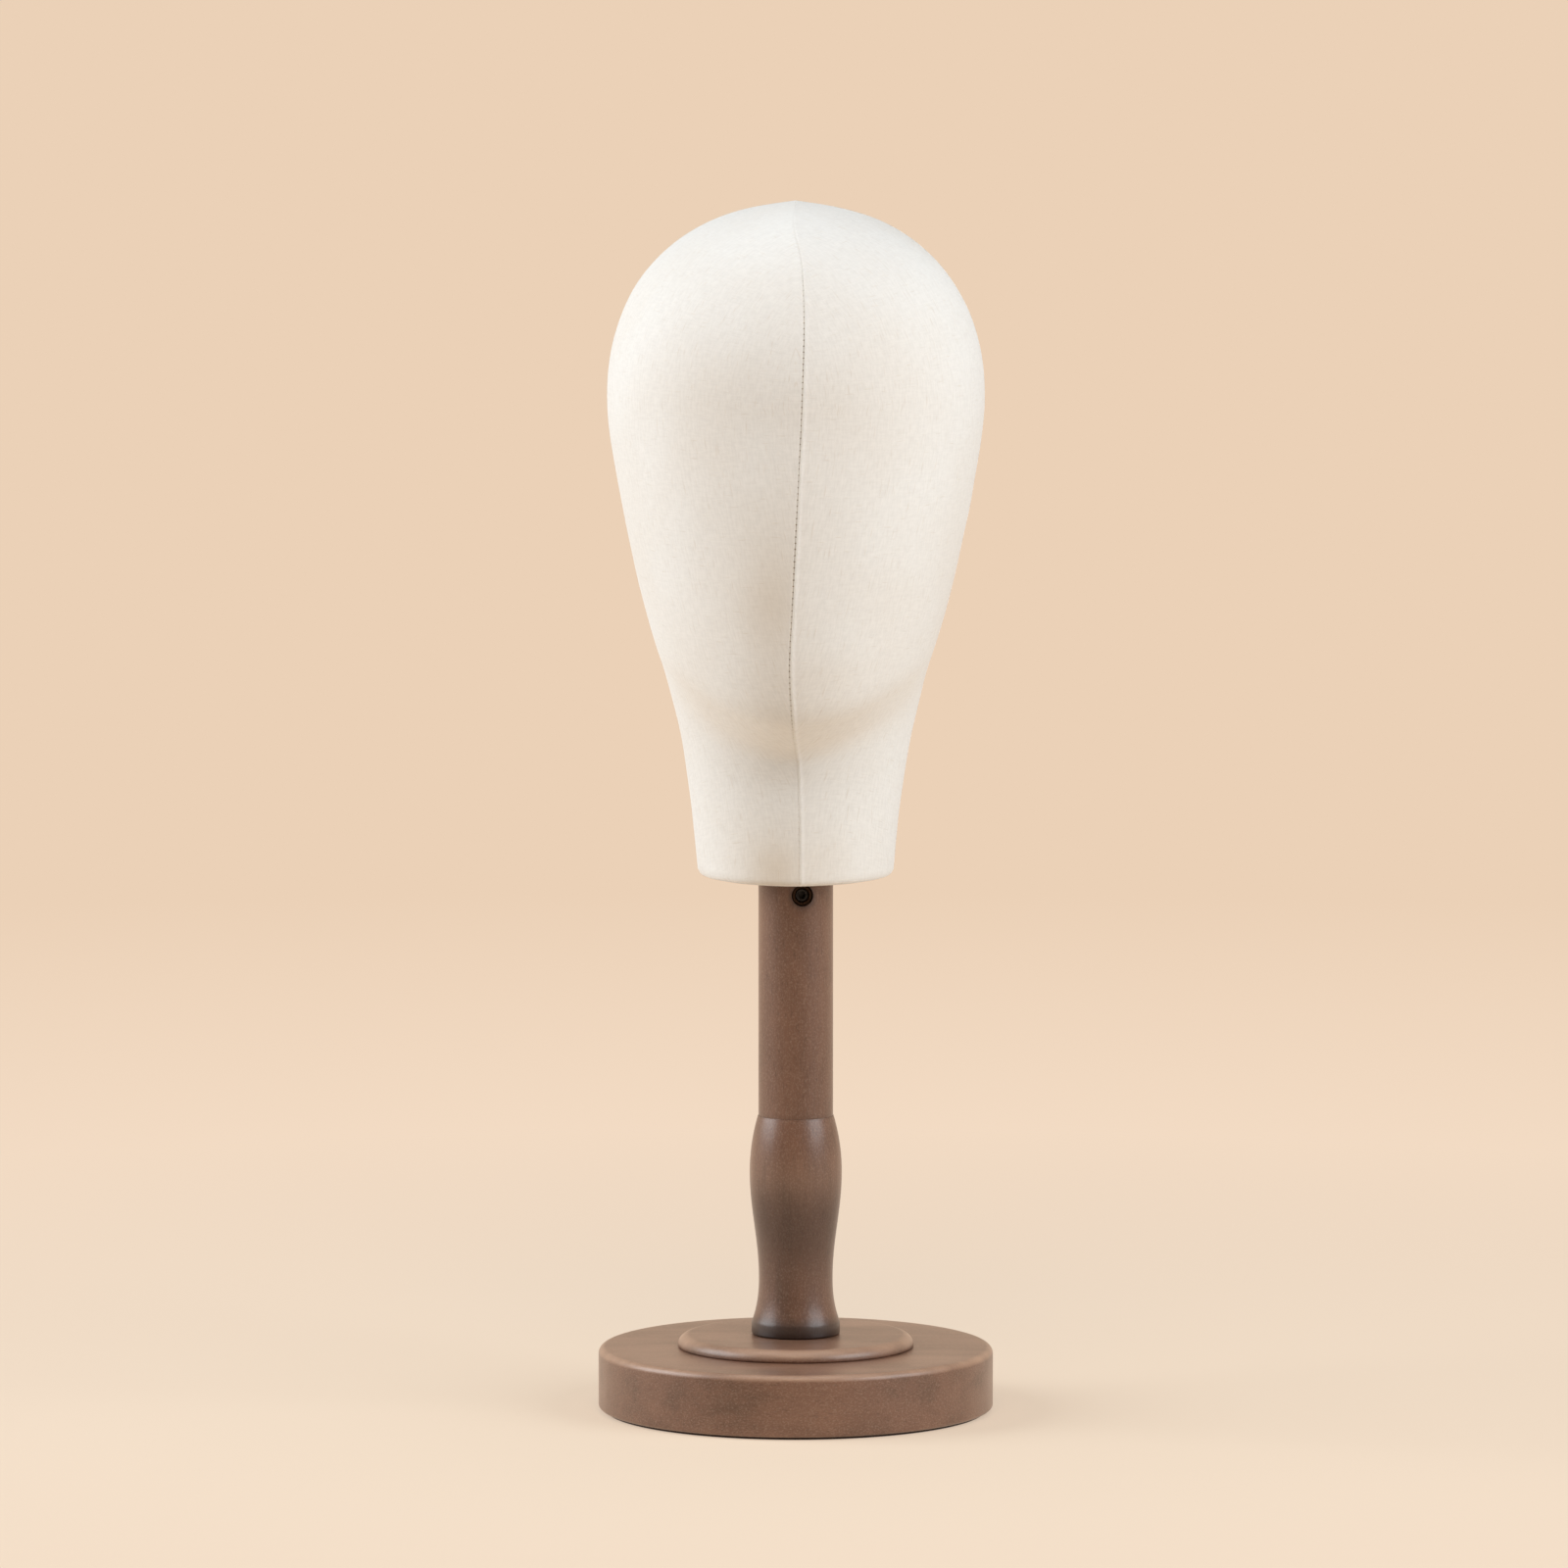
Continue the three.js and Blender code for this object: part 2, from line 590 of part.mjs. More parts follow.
// Rings that carry a layer's surface round the bottom edge of the neck, to the layer's own level
function edgeRings(turnsAt, depth) {
  const round = HEM_ROUND - depth;
  if (round <= 0) return [rimRing(turnsAt, depth, FORM_BOTTOM)];
  return Array.from({ length: HEM_STEPS }, (_, i) => {
    const angle = ((i + 1) * Math.PI) / 2 / HEM_STEPS;
    return rimRing(turnsAt, HEM_ROUND - round * Math.cos(angle), EDGE_LEVEL - round * Math.sin(angle));
  });
}

// One surface of a layer, from its pole down and round the bottom edge of the neck
function layerSurface(turnsAt, depth, step) {
  const rings = surfaceRings(ringPlaces(EDGE_LEVEL, step), turnsAt, depth);
  return { pole: layerPoint(0, 0, depth), rings: [...rings, ...edgeRings(turnsAt, depth)] };
}

// Half of the linen cover, with its hem turned under the neck
function coverPanel(name, side) {
  const turnsAt = (u) => halfTurns(u, side);
  const outer = layerSurface(turnsAt, 0, 1);
  const inner = layerSurface(turnsAt, CLOTH_THICKNESS, 1);
  outer.rings.push(rimRing(turnsAt, HEM_WIDTH, HEM_BOTTOM));
  inner.rings.push(rimRing(turnsAt, HEM_WIDTH, HEM_BOTTOM + CLOTH_THICKNESS));
  const made = piece(name, facingOut(wallGeometry(outer, inner, false)), linen);
  made.position.x = (side * SEAM_GAP) / 2;
  return made;
}

// A layer that goes all round the head and is open at the neck
function layerGeometry(depth, innerDepth, outerStep, innerStep) {
  const outer = layerSurface(fullTurns, depth, outerStep);
  const inner = layerSurface(fullTurns, innerDepth, innerStep);
  return facingOut(wallGeometry(outer, inner, true));
}

function padding() {
  return piece("padding", layerGeometry(PADDING_DEPTH, PADDING_DEPTH + PADDING_THICKNESS, 1, 2), wadding);
}

// Reach of the neck's rim from the axis, in a direction in degrees from the front
function rimReach(degrees, inset) {
  const direction = degToRad(degrees);
  const outwards = new THREE.Vector3(Math.sin(direction), -Math.cos(direction), 0);
  const fit = (point) => point.dot(outwards) / point.length();
  const ring = rimRing(fullTurns, inset, 0);
  return ring.reduce((best, point) => (fit(point) > fit(best) ? point : best)).length();
}

function nailPlace(i) {
  const degrees = NAIL_TURN + (360 / BOARD_NAILS) * i;
  return { degrees, reach: rimReach(degrees, SHELL_DEPTH) - NAIL_SUNK };
}

const NAIL_HEIGHT = FORM_BOTTOM + BOARD_THICKNESS / 2;

// A nail built along +Z, its head's face at a reach. With a spare it is the hole for one
function nailGeometry(reach, spare) {
  const head = NAIL_HEAD_RADIUS + spare;
  const shank = NAIL_RADIUS + spare;
  const seat = reach - NAIL_HEAD_THICKNESS - spare;
  const tip = reach - NAIL_LENGTH - spare;
  const top = spare > 0 ? reach + OVERRUN : reach;
  const outline = [
    [0, tip],
    [shank, tip + shank],
    [shank, seat],
    [head, seat],
    [head, top],
    [0, top],
  ];
  return turned(outline, SCREW_SIDES);
}

function nailHoles() {
  return Array.from({ length: BOARD_NAILS }, (_, i) => {
    const { degrees, reach } = nailPlace(i);
    return outwardGeometry(nailGeometry(reach, LAYER_GAP), degrees, NAIL_HEIGHT);
  });
}

function boardNail(i) {
  const { degrees, reach } = nailPlace(i);
  return pointOutwards(piece(`board_nail_${i + 1}`, nailGeometry(reach, 0), steel), degrees, NAIL_HEIGHT);
}

function headShell() {
  return piece("head_shell", cut(layerGeometry(SHELL_DEPTH, CAVITY_DEPTH, 2, 2), ...nailHoles()), pulp);
}

// A flat piece with the neck's outline, drawn in by an inset, and round holes
function neckPlate(inset, low, thickness, holes) {
  const outline = rimRing(fullTurns, inset, 0).map(({ x, y }) => new THREE.Vector2(x, y));
  const shape = new THREE.Shape(outline);
  for (const { x, y, radius } of holes) {
    shape.holes.push(new THREE.Path().absarc(x, y, radius, 0, 2 * Math.PI, true));
  }
  const settings = { depth: thickness, bevelEnabled: false, curveSegments: SMALL_SIDES / 2 };
  return new THREE.ExtrudeGeometry(shape, settings).translate(0, 0, low);
}

function flangeScrewPlaces() {
  return Array.from({ length: FLANGE_SCREWS }, (_, i) => {
    const angle = ((i + 0.5) * 2 * Math.PI) / FLANGE_SCREWS;
    return { x: FLANGE_SCREW_CIRCLE * Math.cos(angle), y: FLANGE_SCREW_CIRCLE * Math.sin(angle) };
  });
}

function neckBoard() {
  const radius = FLANGE_SCREW_RADIUS + LAYER_GAP;
  const pilots = flangeScrewPlaces().map((place) => ({ ...place, radius }));
  const rodHole = { x: 0, y: 0, radius: ROD_BORE };
  const inset = CAVITY_DEPTH + LAYER_GAP;
  const blank = neckPlate(inset, FORM_BOTTOM, BOARD_THICKNESS, [rodHole, ...pilots]);
  return piece("neck_board", cut(blank, ...nailHoles()), plainWood);
}

function neckCloth() {
  const rodHole = { x: 0, y: 0, radius: ROD_BORE };
  const thickness = NECK_CLOTH_THICKNESS - LAYER_GAP / 2;
  return piece("neck_cloth", neckPlate(NECK_CLOTH_INSET, 0, thickness, [rodHole]), linen);
}

// A countersunk screw built along +Z, its top at height 0. With a spare it is the hole for one
function countersunk(spare) {
  const head = FLANGE_SCREW_HEAD + spare;
  const shank = FLANGE_SCREW_RADIUS + spare;
  const tip = -FLANGE_SCREW_LENGTH - spare;
  const outline = [
    [0, tip],
    [shank, tip + shank],
    [shank, shank - head],
    [head, 0],
    ...(spare > 0 ? [[head, spare]] : []),
    [0, spare],
  ];
  return turned(outline, SCREW_SIDES);
}

// A plate on the board, with a hub that is closed over the end of the rod
function rodFlange() {
  const bore = ROD_RADIUS + RUN_GAP;
  const hub = bore + HUB_WALL;
  const outline = [
    [0, HUB_TOP - HUB_CAP],
    [bore, HUB_TOP - HUB_CAP],
    [bore, BOARD_TOP],
    [FLANGE_RADIUS, BOARD_TOP],
    [FLANGE_RADIUS, FLANGE_TOP],
    [hub, FLANGE_TOP],
    [hub, HUB_TOP],
    [0, HUB_TOP],
  ];
  const holes = flangeScrewPlaces().map(({ x, y }) => countersunk(LAYER_GAP).translate(x, y, FLANGE_TOP));
  return piece("rod_flange", cut(turned(outline, SMALL_SIDES), ...holes), steel);
}

function flangeScrew({ x, y }, i) {
  const made = piece(`flange_screw_${i + 1}`, countersunk(0), steel);
  made.position.set(x, y, FLANGE_TOP);
  return made;
}

function neckRod() {
  const low = POST_TOP - ROD_IN_POST;
  const high = POST_TOP + REST_GAP + HUB_TOP - HUB_CAP - LAYER_GAP;
  const thin = ROD_RADIUS - ROD_CHAMFER;
  const outline = [
    [0, low],
    [thin, low],
    [ROD_RADIUS, low + ROD_CHAMFER],
    [ROD_RADIUS, high - ROD_CHAMFER],
    [thin, high],
    [0, high],
  ];
  return piece("neck_rod", turned(outline, SMALL_SIDES), steel);
}

const stand = new THREE.Group();
stand.add(feltPad(), baseDisc(), stepDisc(), post(), guideSleeve(), lockInsert());
stand.add(footInsert(), baseWasher(), baseBolt(), lockScrew(), neckRod());

const head = new THREE.Group();
head.add(coverPanel("cover_right", 1), coverPanel("cover_left", -1), padding(), headShell());
head.add(neckCloth(), neckBoard(), rodFlange(), ...flangeScrewPlaces().map(flangeScrew));
head.add(...Array.from({ length: BOARD_NAILS }, (_, i) => boardNail(i)));
head.position.z = POST_TOP + REST_GAP;

const mannequinHead = new THREE.Group();
mannequinHead.add(stand, head);

export default mannequinHead;
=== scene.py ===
"""A linen-covered mannequin head on a turned wooden post and a stepped round base.

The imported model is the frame, and each operator makes one piece or group of like pieces around it.
"""

import json
import math

import bmesh
import bpy
import numpy as np
from bpy.props import FloatProperty, FloatVectorProperty
from mathutils import Matrix, Vector, noise


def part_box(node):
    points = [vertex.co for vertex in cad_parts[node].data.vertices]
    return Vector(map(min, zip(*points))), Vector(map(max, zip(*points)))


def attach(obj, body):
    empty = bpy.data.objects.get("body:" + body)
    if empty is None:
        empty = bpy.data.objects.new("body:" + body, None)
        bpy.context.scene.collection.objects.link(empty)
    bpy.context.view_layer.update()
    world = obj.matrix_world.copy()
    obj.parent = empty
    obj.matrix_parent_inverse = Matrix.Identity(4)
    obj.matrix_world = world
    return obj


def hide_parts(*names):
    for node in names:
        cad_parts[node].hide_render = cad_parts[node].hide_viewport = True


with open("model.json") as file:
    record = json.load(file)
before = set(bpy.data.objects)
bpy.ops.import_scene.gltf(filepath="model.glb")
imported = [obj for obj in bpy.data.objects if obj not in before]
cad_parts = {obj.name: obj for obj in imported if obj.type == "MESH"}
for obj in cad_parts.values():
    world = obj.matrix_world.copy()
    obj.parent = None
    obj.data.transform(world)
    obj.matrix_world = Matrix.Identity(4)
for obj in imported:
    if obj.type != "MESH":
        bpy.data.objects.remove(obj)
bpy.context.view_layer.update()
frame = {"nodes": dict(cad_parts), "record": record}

bl_info = {
    "name": "Linen mannequin head",
    "version": (1, 0, 0),
    "blender": (4, 5, 0),
    "location": "View3D > Sidebar > Mannequin",
    "description": "Makes a linen-covered display head on a turned wooden stand",
    "category": "Add Mesh",
}

MM = 0.001

# Head, with heights above the underside of the neck
HEAD_HEIGHT = 283.2 * MM  # of the crown beside the seam
BROW_HEIGHT = 202.8 * MM
HEAD_HALF_WIDTH = 79.8 * MM
FACE_REACH = 92.2 * MM
OCCIPUT_REACH = 97.9 * MM
NECK_HALF_WIDTH = 41 * MM
NECK_FRONT = 46.8 * MM
NECK_BACK = 49 * MM
CROWN_BACK = 7 * MM
CROWN_POWER, TEMPLE_POWER, FACE_POWER, NAPE_POWER = 2.3, 2.13, 2, 2.15
HEM_ROUND = 2.4 * MM
HEM_WIDTH = 12 * MM
HEM_BOTTOM = 0.6 * MM
EDGE_LEVEL = HEM_BOTTOM + HEM_ROUND
LAYER_GAP = 0.2 * MM

# Lines of the head from the brow down: height as a share of the brow's, how far the front, back and side
# have grown from the neck's outline to the head's, and how far the line drops to the chin and lifts to the
# nape
LINES = [
    (1, 0.949, 1, 1, 0, 0),
    (0.815, 1, 0.888, 0.872, 6 * MM, 4 * MM),
    (0.634, 0.969, 0.657, 0.674, 15 * MM, 7 * MM),
    (0.544, 0.897, 0.51, 0.549, 21 * MM, 9 * MM),
    (0.482, 0.743, 0.392, 0.452, 23 * MM, 9 * MM),
    (0.443, 0.456, 0.318, 0.389, 23 * MM, 9 * MM),
    (0.393, 0.179, 0.216, 0.32, 20 * MM, 8 * MM),
    (0.296, 0.035, 0.088, 0.199, 12 * MM, 5 * MM),
    (0.162, 0, 0.016, 0.088, 4 * MM, 2 * MM),
    (0, 0, 0, 0, 0, 0),
]

# Seam: height as a share of the head's, how far the front one wanders to the right of the middle, how far
# both stand out from the cloth beside them, and how deep the groove between the panels is
SEAM = [
    (0, 1.4 * MM, 2.6 * MM, 0.08 * MM),
    (0.19, 0.4 * MM, 2.4 * MM, 0.06 * MM),
    (0.25, -1.2 * MM, 2.8 * MM, 0.15 * MM),
    (0.33, -2.5 * MM, 3.3 * MM, 0.3 * MM),
    (0.45, -1.2 * MM, 3.5 * MM, 0.34 * MM),
    (0.6, 0.8 * MM, 2.8 * MM, 0.34 * MM),
    (0.72, 2.3 * MM, 2.1 * MM, 0.32 * MM),
    (0.86, 3.2 * MM, 1.3 * MM, 0.25 * MM),
    (0.93, 2 * MM, 1.3 * MM, 0.15 * MM),
    (0.98, -1.2 * MM, 2.1 * MM, 0.03 * MM),
    (1, 0, 2.4 * MM, 0),
]

# How far from a seam the cloth falls back to the head. Left of the front seam a share of it falls later,
# which starts at one ring and is whole at the next.
KEEL_WIDTH = 17 * MM
LATE_FALL = 30 * MM
LATE_SHARE = 0.9
LATE_RINGS = (1.1, 1.3)

# Cloth beside a seam: the groove's width; the ridge's height, distance and width on each side; and the
# height, width and edge of the allowance pressed to the right. They fade out over the crown.
GROOVE_WIDTH = 0.3 * MM
LEFT_RIDGE = (0.1 * MM, 0.8 * MM, 0.6 * MM)
RIGHT_RIDGE = (0.34 * MM, 0.9 * MM, 0.55 * MM)
ALLOWANCE = (0.12 * MM, 6.5 * MM, 0.7 * MM)
CROWN_FADE = 0.3

# Lumps of the stuffing: height, how many to a metre, and where the noise is taken
LUMPS = [(0.4 * MM, 24, (0, 0, 0)), (0.12 * MM, 62, (7, 3, 1))]

# Where the linen is darkened beside the front seam, partly soiled by handling, partly painted shade:
# height above the table, half the height of the spot, and how much it is darkened left and right of it
SOILED_AND_SHADE_SPOTS = [(355 * MM, 26 * MM, 0.3, 0.0), (236 * MM, 13 * MM, 0.45, 0.15)]
SOILED_AND_SHADE_BESIDE = 9 * MM
SOILED_AND_SHADE_WIDTH = 12 * MM

# How strongly the seam's painted shade, in the groove and on its thread, shows at heights above the table,
# from the neck to the crown
SEAM_SHOWS = [(262 * MM, 0.15), (300 * MM, 0.45), (330 * MM, 1.0), (470 * MM, 1.0), (498 * MM, 0.12)]

# Panels, patch and wadding
PANEL_GAP = 0.02 * MM
PANEL_ROW = 2.1 * MM
PANEL_COLUMNS = 96
SEAM_COLUMNS = np.array([0, 0.15, 0.3, 0.5, 0.8, 1.2, 1.7, 2.4, 3.3, 4.5, 6, 8, 10.5, 13.5]) * MM
SEAM_COLUMNS_SHARE = 0.45  # most that they may take of half the width
HEM_STEPS = 6  # rings round the edge of the hem
HEM_ROWS = 5  # rings under the neck
HEM_ROW = 1.6 * MM  # between the rings of the hem on the flat cloth
CUTS_APART = 0.6  # the two panels on the flat cloth
CLOTH_BEND = 60  # degrees, past which an edge of the cloth is sharp
FAR_FROM_SEAM = 5 * MM
PATCH_INSET = 5 * MM
PATCH_HOLE = 6.8 * MM
PATCH_THICKNESS = 0.5 * MM
PATCH_EDGE = 0.07 * MM
PATCH_HOLE_EDGE = 0.03 * MM
PATCH_ROWS, PATCH_COLUMNS = 14, 160
PATCH_SEWN_IN = 0.4 * MM  # from the patch's edge
PATCH_SEWN_UP = 0.4 * MM  # above the underside of the neck
PATCH_SEWN_POINTS = 241
WADDING_THICKNESS = 2.5 * MM
WADDING_ROW = 4.2 * MM
WADDING_COLUMNS = 61

# Stitches: how deep in the groove they lie, as a share of its depth, and how deep where there is none; and
# in widths of the thread, how high their ends lie and how high their middles are pulled
STITCH_SUNK = 0.6
STITCH_DRAWN_IN = 0.2 * MM
STITCH_ENDS = -0.7
STITCH_MIDDLE = 1.1
STITCH_UNEVEN = 0.2  # most that a stitch leans to either side, in radians
STITCH_SEED = 4
PATCH_LEAN = 35  # degrees

# Post, with heights above its own foot
POST_RADIUS = 15.85 * MM
SHOULDER_HEIGHT = 93.8 * MM
SHOULDER_RADIUS = 16.1 * MM
VASE_HEIGHT = 69.8 * MM
VASE_RADIUS = 19.6 * MM
WAIST_HEIGHT = 24.2 * MM
WAIST_RADIUS = 15.7 * MM
FOOT_BAND = 5.2 * MM
FOOT_RADIUS = 18.8 * MM
FLARE_POWER = 2.3
FOOT_ROUND = 1.1 * MM
POST_TOP_ROUND = 0.5 * MM
BORE_DEPTH = 118 * MM
TURNED_SIDES, ROD_SIDES, INSERT_SIDES, SCREW_SIDES = 192, 96, 64, 48
SHAFT_RINGS, ROD_RINGS = 42, 40
POST_BEND = 40  # degrees, past which an edge of the post is sharp

# How much darker the post is, and over what distance it fades: all over, painted shade up from the foot,
# darker at the shoulder and round the lock screw, painted shade in the hollow under the vase and painted
# shadow below the head
DARKER_ALL_OVER = 0.1
PAINTED_SHADE_FOOT, PAINTED_SHADE_FOOT_TOP, PAINTED_SHADE_FOOT_FADE = 0.97, FOOT_BAND + 5 * MM, 6 * MM
DARKER_AT_SHOULDER, DARKER_AT_SHOULDER_FADE = 0.25, 0.9 * MM
DARKER_ROUND_SCREW, DARKER_ROUND_SCREW_FADE = 0.75, 3 * MM
PAINTED_SHADE_HOLLOW, PAINTED_SHADE_HOLLOW_FADE = 0.55, 22 * MM
PAINTED_SHADOW_NECK, PAINTED_SHADOW_NECK_FADE = 0.6, 7 * MM
VASE_WEAR, VASE_WEAR_FADE = 0.25, 9 * MM
# How strongly the rounded edges of the base and step are paler: partly rubbed, partly a painted highlight
EDGE_WEAR_AND_HIGHLIGHT = 1.2

# Base, step and felt, with the rings that part their flat tops
BASE_TOP_ROUND = 3 * MM
BASE_BOTTOM_ROUND = 1.7 * MM
BASE_RINGS = np.array([76, 66, 56, 46, 30, 14]) * MM
STEP_BOTTOM_ROUND = 0.8 * MM
STEP_BEND = 5 * MM
STEP_RINGS = np.array([36, 28, 20, 10]) * MM
FELT_ROUND = 0.4 * MM
BOLT_HOLE = 4.4 * MM
RECESS_RADIUS = 11 * MM
RECESS_DEPTH = 8.5 * MM
FOOT_INSERT_HOLE = 6.4 * MM
FOOT_INSERT_DEPTH = 20.4 * MM

# Rod, sleeve and lock
ROD_RADIUS = 6 * MM
ROD_EDGE = 1 * MM
ROD_CLEARANCE = 0.8 * MM
SLEEVE_INNER = 6.2 * MM
SLEEVE_OUTER = 7.5 * MM
SLEEVE_LENGTH = 60 * MM
SLEEVE_EDGE = 0.3 * MM
LOCK_HOLE = 4.6 * MM
LOCK_INSERT_RADIUS = 4.4 * MM
LOCK_INSERT_SUNK = 1.2 * MM
LOCK_INSERT_EDGE = 0.35 * MM
LOCK_THREAD = 3 * MM
LOCK_SCREW_RADIUS = 2.8 * MM
LOCK_SCREW_LENGTH = 7.6 * MM
LOCK_SCREW_GAP = 0.2 * MM
THREAD_PITCH = 0.8 * MM
THREAD_DEPTH = 0.3 * MM
THREAD_CREST = 0.95  # of the pitch
SOCKET_RADIUS = 1.5 * MM  # to its flats
SOCKET_DEPTH = 3 * MM
SOCKET_CHAMFER = (1.22, 1.1)  # its rim outside and inside, as shares of the socket
SOCKET_CHAMFER_DEPTH = 0.15 * MM
DRILL_PAST = 2 * MM  # how far past the outside of a piece the drill reaches

# Colours as they are seen
LINEN_PALE = "#f4f4f1"
LINEN_WARM = "#f1efea"
LINEN_SLUB = "#d3c6b3"
# Laid beside the front seam, partly as soil from handling and partly as painted shade
LINEN_SOILED_AND_SHADE = "#d2c0a6"
# Painted shade laid in the seams' groove
SEAM_PAINTED_SHADE = "#a09080"
# The thread's tones, darkened as painted shade of the groove and the needle holes
THREAD_DARK = "#776b5c"
THREAD_PALE = "#a39581"
BEECH_LIGHT = "#825d49"
BEECH_MIDDLE = "#75523f"
BEECH_DARK = "#614432"
BEECH_FLECK = "#3f281b"
BEECH_DUST = "#a98f7c"
# Paler rubbed wood, laid on the edges of the base and step partly as a painted highlight
BEECH_RUBBED_AND_HIGHLIGHT = "#c09d84"
# Darker wood on the post, with painted shade at its foot and hollow and painted shadow below the head
DARKER_AND_PAINTED_SHADE = "#2a1a13"
BACKDROP_PEACH = "#ebd1b7"
FLOOR_CREAM = "#f6e4cc"
HORIZON = "#f6e0ca"
AMBIENT_CREAM = "#fff3e6"
LAMP_COOL = "#f4faff"
LAMP_SKY = "#e6f2fd"
LAMP_WARM = "#ffe1c1"

# Camera: where it stands, how far down it looks and its lens
CAMERA_PLACE = (-0.005, -4.380, 0.705)
CAMERA_DOWN = 5.70
CAMERA_LENS = 238.5
CAMERA_SENSOR = 36

# Each lamp's name, degrees round from the front, distance, height, size and colour
LAMPS = [
    ("left", -88, 1.9, 1.2, (1.8, 1.5), LAMP_COOL),
    ("right", 62, 1.9, 1.2, (1.6, 1.5), LAMP_COOL),
    ("top", 0, 0.01, 2.1, (1.5, 1.5), LAMP_SKY),
    ("front", 0, 1.5, 2.0, (1.0, 1.0), LAMP_WARM),
]
LAMP_AIM = (0, 0, 0.3)
FLOOR_RADIUS = 40
FLOOR_SIDES = 128


def linear(code):
    """The linear colour of an sRGB hex value."""
    parts = [int(code[i : i + 2], 16) / 255 for i in (1, 3, 5)]
    return tuple(p / 12.92 if p <= 0.04045 else ((p + 0.055) / 1.055) ** 2.4 for p in parts)


def rgba(colour):
    """A linear colour with its alpha, from a hex value or a linear colour."""
    return (*(linear(colour) if isinstance(colour, str) else colour), 1.0)


def add(tree, kind, links=(), **settings):
    """Adds a node with its settings; links gives inputs, in order or by name, values, outputs or nodes."""
    node = tree.nodes.new(kind)
    for key, value in settings.items():
        setattr(node, key, value)
    named = links if isinstance(links, dict) else dict(enumerate(links))
    for key, value in named.items():
        if isinstance(value, bpy.types.Node):
            # A node given whole stands for its first output in use
            value = next(output for output in value.outputs if output.enabled)
        if isinstance(value, bpy.types.NodeSocket):
            tree.links.new(value, node.inputs[key])
        else:
            node.inputs[key].default_value = value
    return node


def ramp(node, *stops):
    """Sets a colour ramp's stops, each a place and a colour."""
    elements = node.color_ramp.elements
    while len(elements) < len(stops):
        elements.new(0.5)
    for element, (place, colour) in zip(elements, stops):
        element.position = place
        element.color = rgba(colour)
    return node


def put(name, data):
    """A new object of the scene for a mesh, a lamp or a camera."""
    made = bpy.data.objects.new(name, data)
    bpy.context.scene.collection.objects.link(made)
    return made


# Surface of the head


def between(a, b, share):
    return a + (b - a) * share


def bell(at, middle, width):
    """A share that is 1 at the middle and falls off smoothly over a width."""
    return np.exp(-(((at - middle) / width) ** 2))


def smooth(places, rows, at):
    """A smooth curve through rows of numbers at rising places, level at its start."""
    places, rows = np.asarray(places, float), np.asarray(rows, float)
    secants = np.diff(rows, axis=0) / np.diff(places)[:, None]
    slopes = np.vstack([0 * secants[:1], (secants[:-1] + secants[1:]) / 2, secants[-1:]])
    at = np.clip(at, places[0], places[-1])
    i = np.clip(np.searchsorted(places, at, side="right") - 1, 0, len(places) - 2)
    gap = (places[i + 1] - places[i])[..., None]
    s = (at - places[i])[..., None] / gap
    ends = (1 + 2 * s) * (1 - s) ** 2 * rows[i] + s**2 * (3 - 2 * s) * rows[i + 1]
    return ends + s * (1 - s) ** 2 * slopes[i] * gap + s**2 * (s - 1) * slopes[i + 1] * gap


def ring(u):
    """Level, front, back, half width, drop and lift where u is 0 at the crown, 1 at the brow, 2 below."""
    u = np.asarray(u, float)
    table = np.array(LINES, float)
    lower = smooth(1 - table[:, 0], table[:, 1:], np.clip(u - 1, 0, 1))
    angle = np.minimum(u, 1) * math.pi / 2
    grow = np.sin(angle) ** (2 / CROWN_POWER)
    rise = np.maximum(np.cos(angle), 0) ** (2 / TEMPLE_POWER)
    brow_front = between(NECK_FRONT, FACE_REACH, LINES[0][1])
    # Each line over the dome, and below the brow
    lines = [
        (between(BROW_HEIGHT, HEAD_HEIGHT, rise), BROW_HEIGHT * (2 - u)),
        (between(-CROWN_BACK, brow_front, grow), between(NECK_FRONT, FACE_REACH, lower[..., 0])),
        (between(CROWN_BACK, OCCIPUT_REACH, grow), between(NECK_BACK, OCCIPUT_REACH, lower[..., 1])),
        (HEAD_HALF_WIDTH * grow, between(NECK_HALF_WIDTH, HEAD_HALF_WIDTH, lower[..., 2])),
        (0, lower[..., 3]),
        (0, lower[..., 4]),
    ]
    return [np.where(u <= 1, dome, below) for dome, below in lines]


def head_point(u, turn):
    """Points of the head's surface: turn is 0 at the front, half pi at the right and pi at the back."""
    level, front, back, half, drop, lift = ring(u)
    along, across = -np.cos(turn), np.sin(turn)
    power = 2 / np.where(along < 0, FACE_POWER, NAPE_POWER)
    x = half * np.sign(across) * np.abs(across) ** power
    y = (back - front) / 2 + (back + front) / 2 * np.sign(along) * np.abs(along) ** power
    z = level + along**2 * np.where(along < 0, -drop, lift)
    return np.stack(np.broadcast_arrays(x, y, z), axis=-1)


def outward(u, turn):
    """Directions out of the head's surface."""
    step, least = 1e-3, 1e-14
    down = head_point(np.minimum(u + step, 2), turn) - head_point(np.maximum(u - step, 0), turn)
    across = head_point(u, turn + step) - head_point(u, turn - step)
    normal = np.cross(down, across)
    length = np.linalg.norm(normal, axis=-1, keepdims=True)
    return np.where(length > least, normal / np.maximum(length, least), (0, 0, 1))


def seam_at(u):
    """Where a ring crosses the front seam, how far the seams stand out there, and their groove's depth."""
    level, _, _, _, drop, _ = ring(u)
    table = np.array(SEAM)
    return np.moveaxis(smooth(table[:, 0], table[:, 1:], (level - drop) / HEAD_HEIGHT), -1, 0)


def seam_turn(u):
    return np.arcsin(seam_at(u)[0] / ring(u)[3])


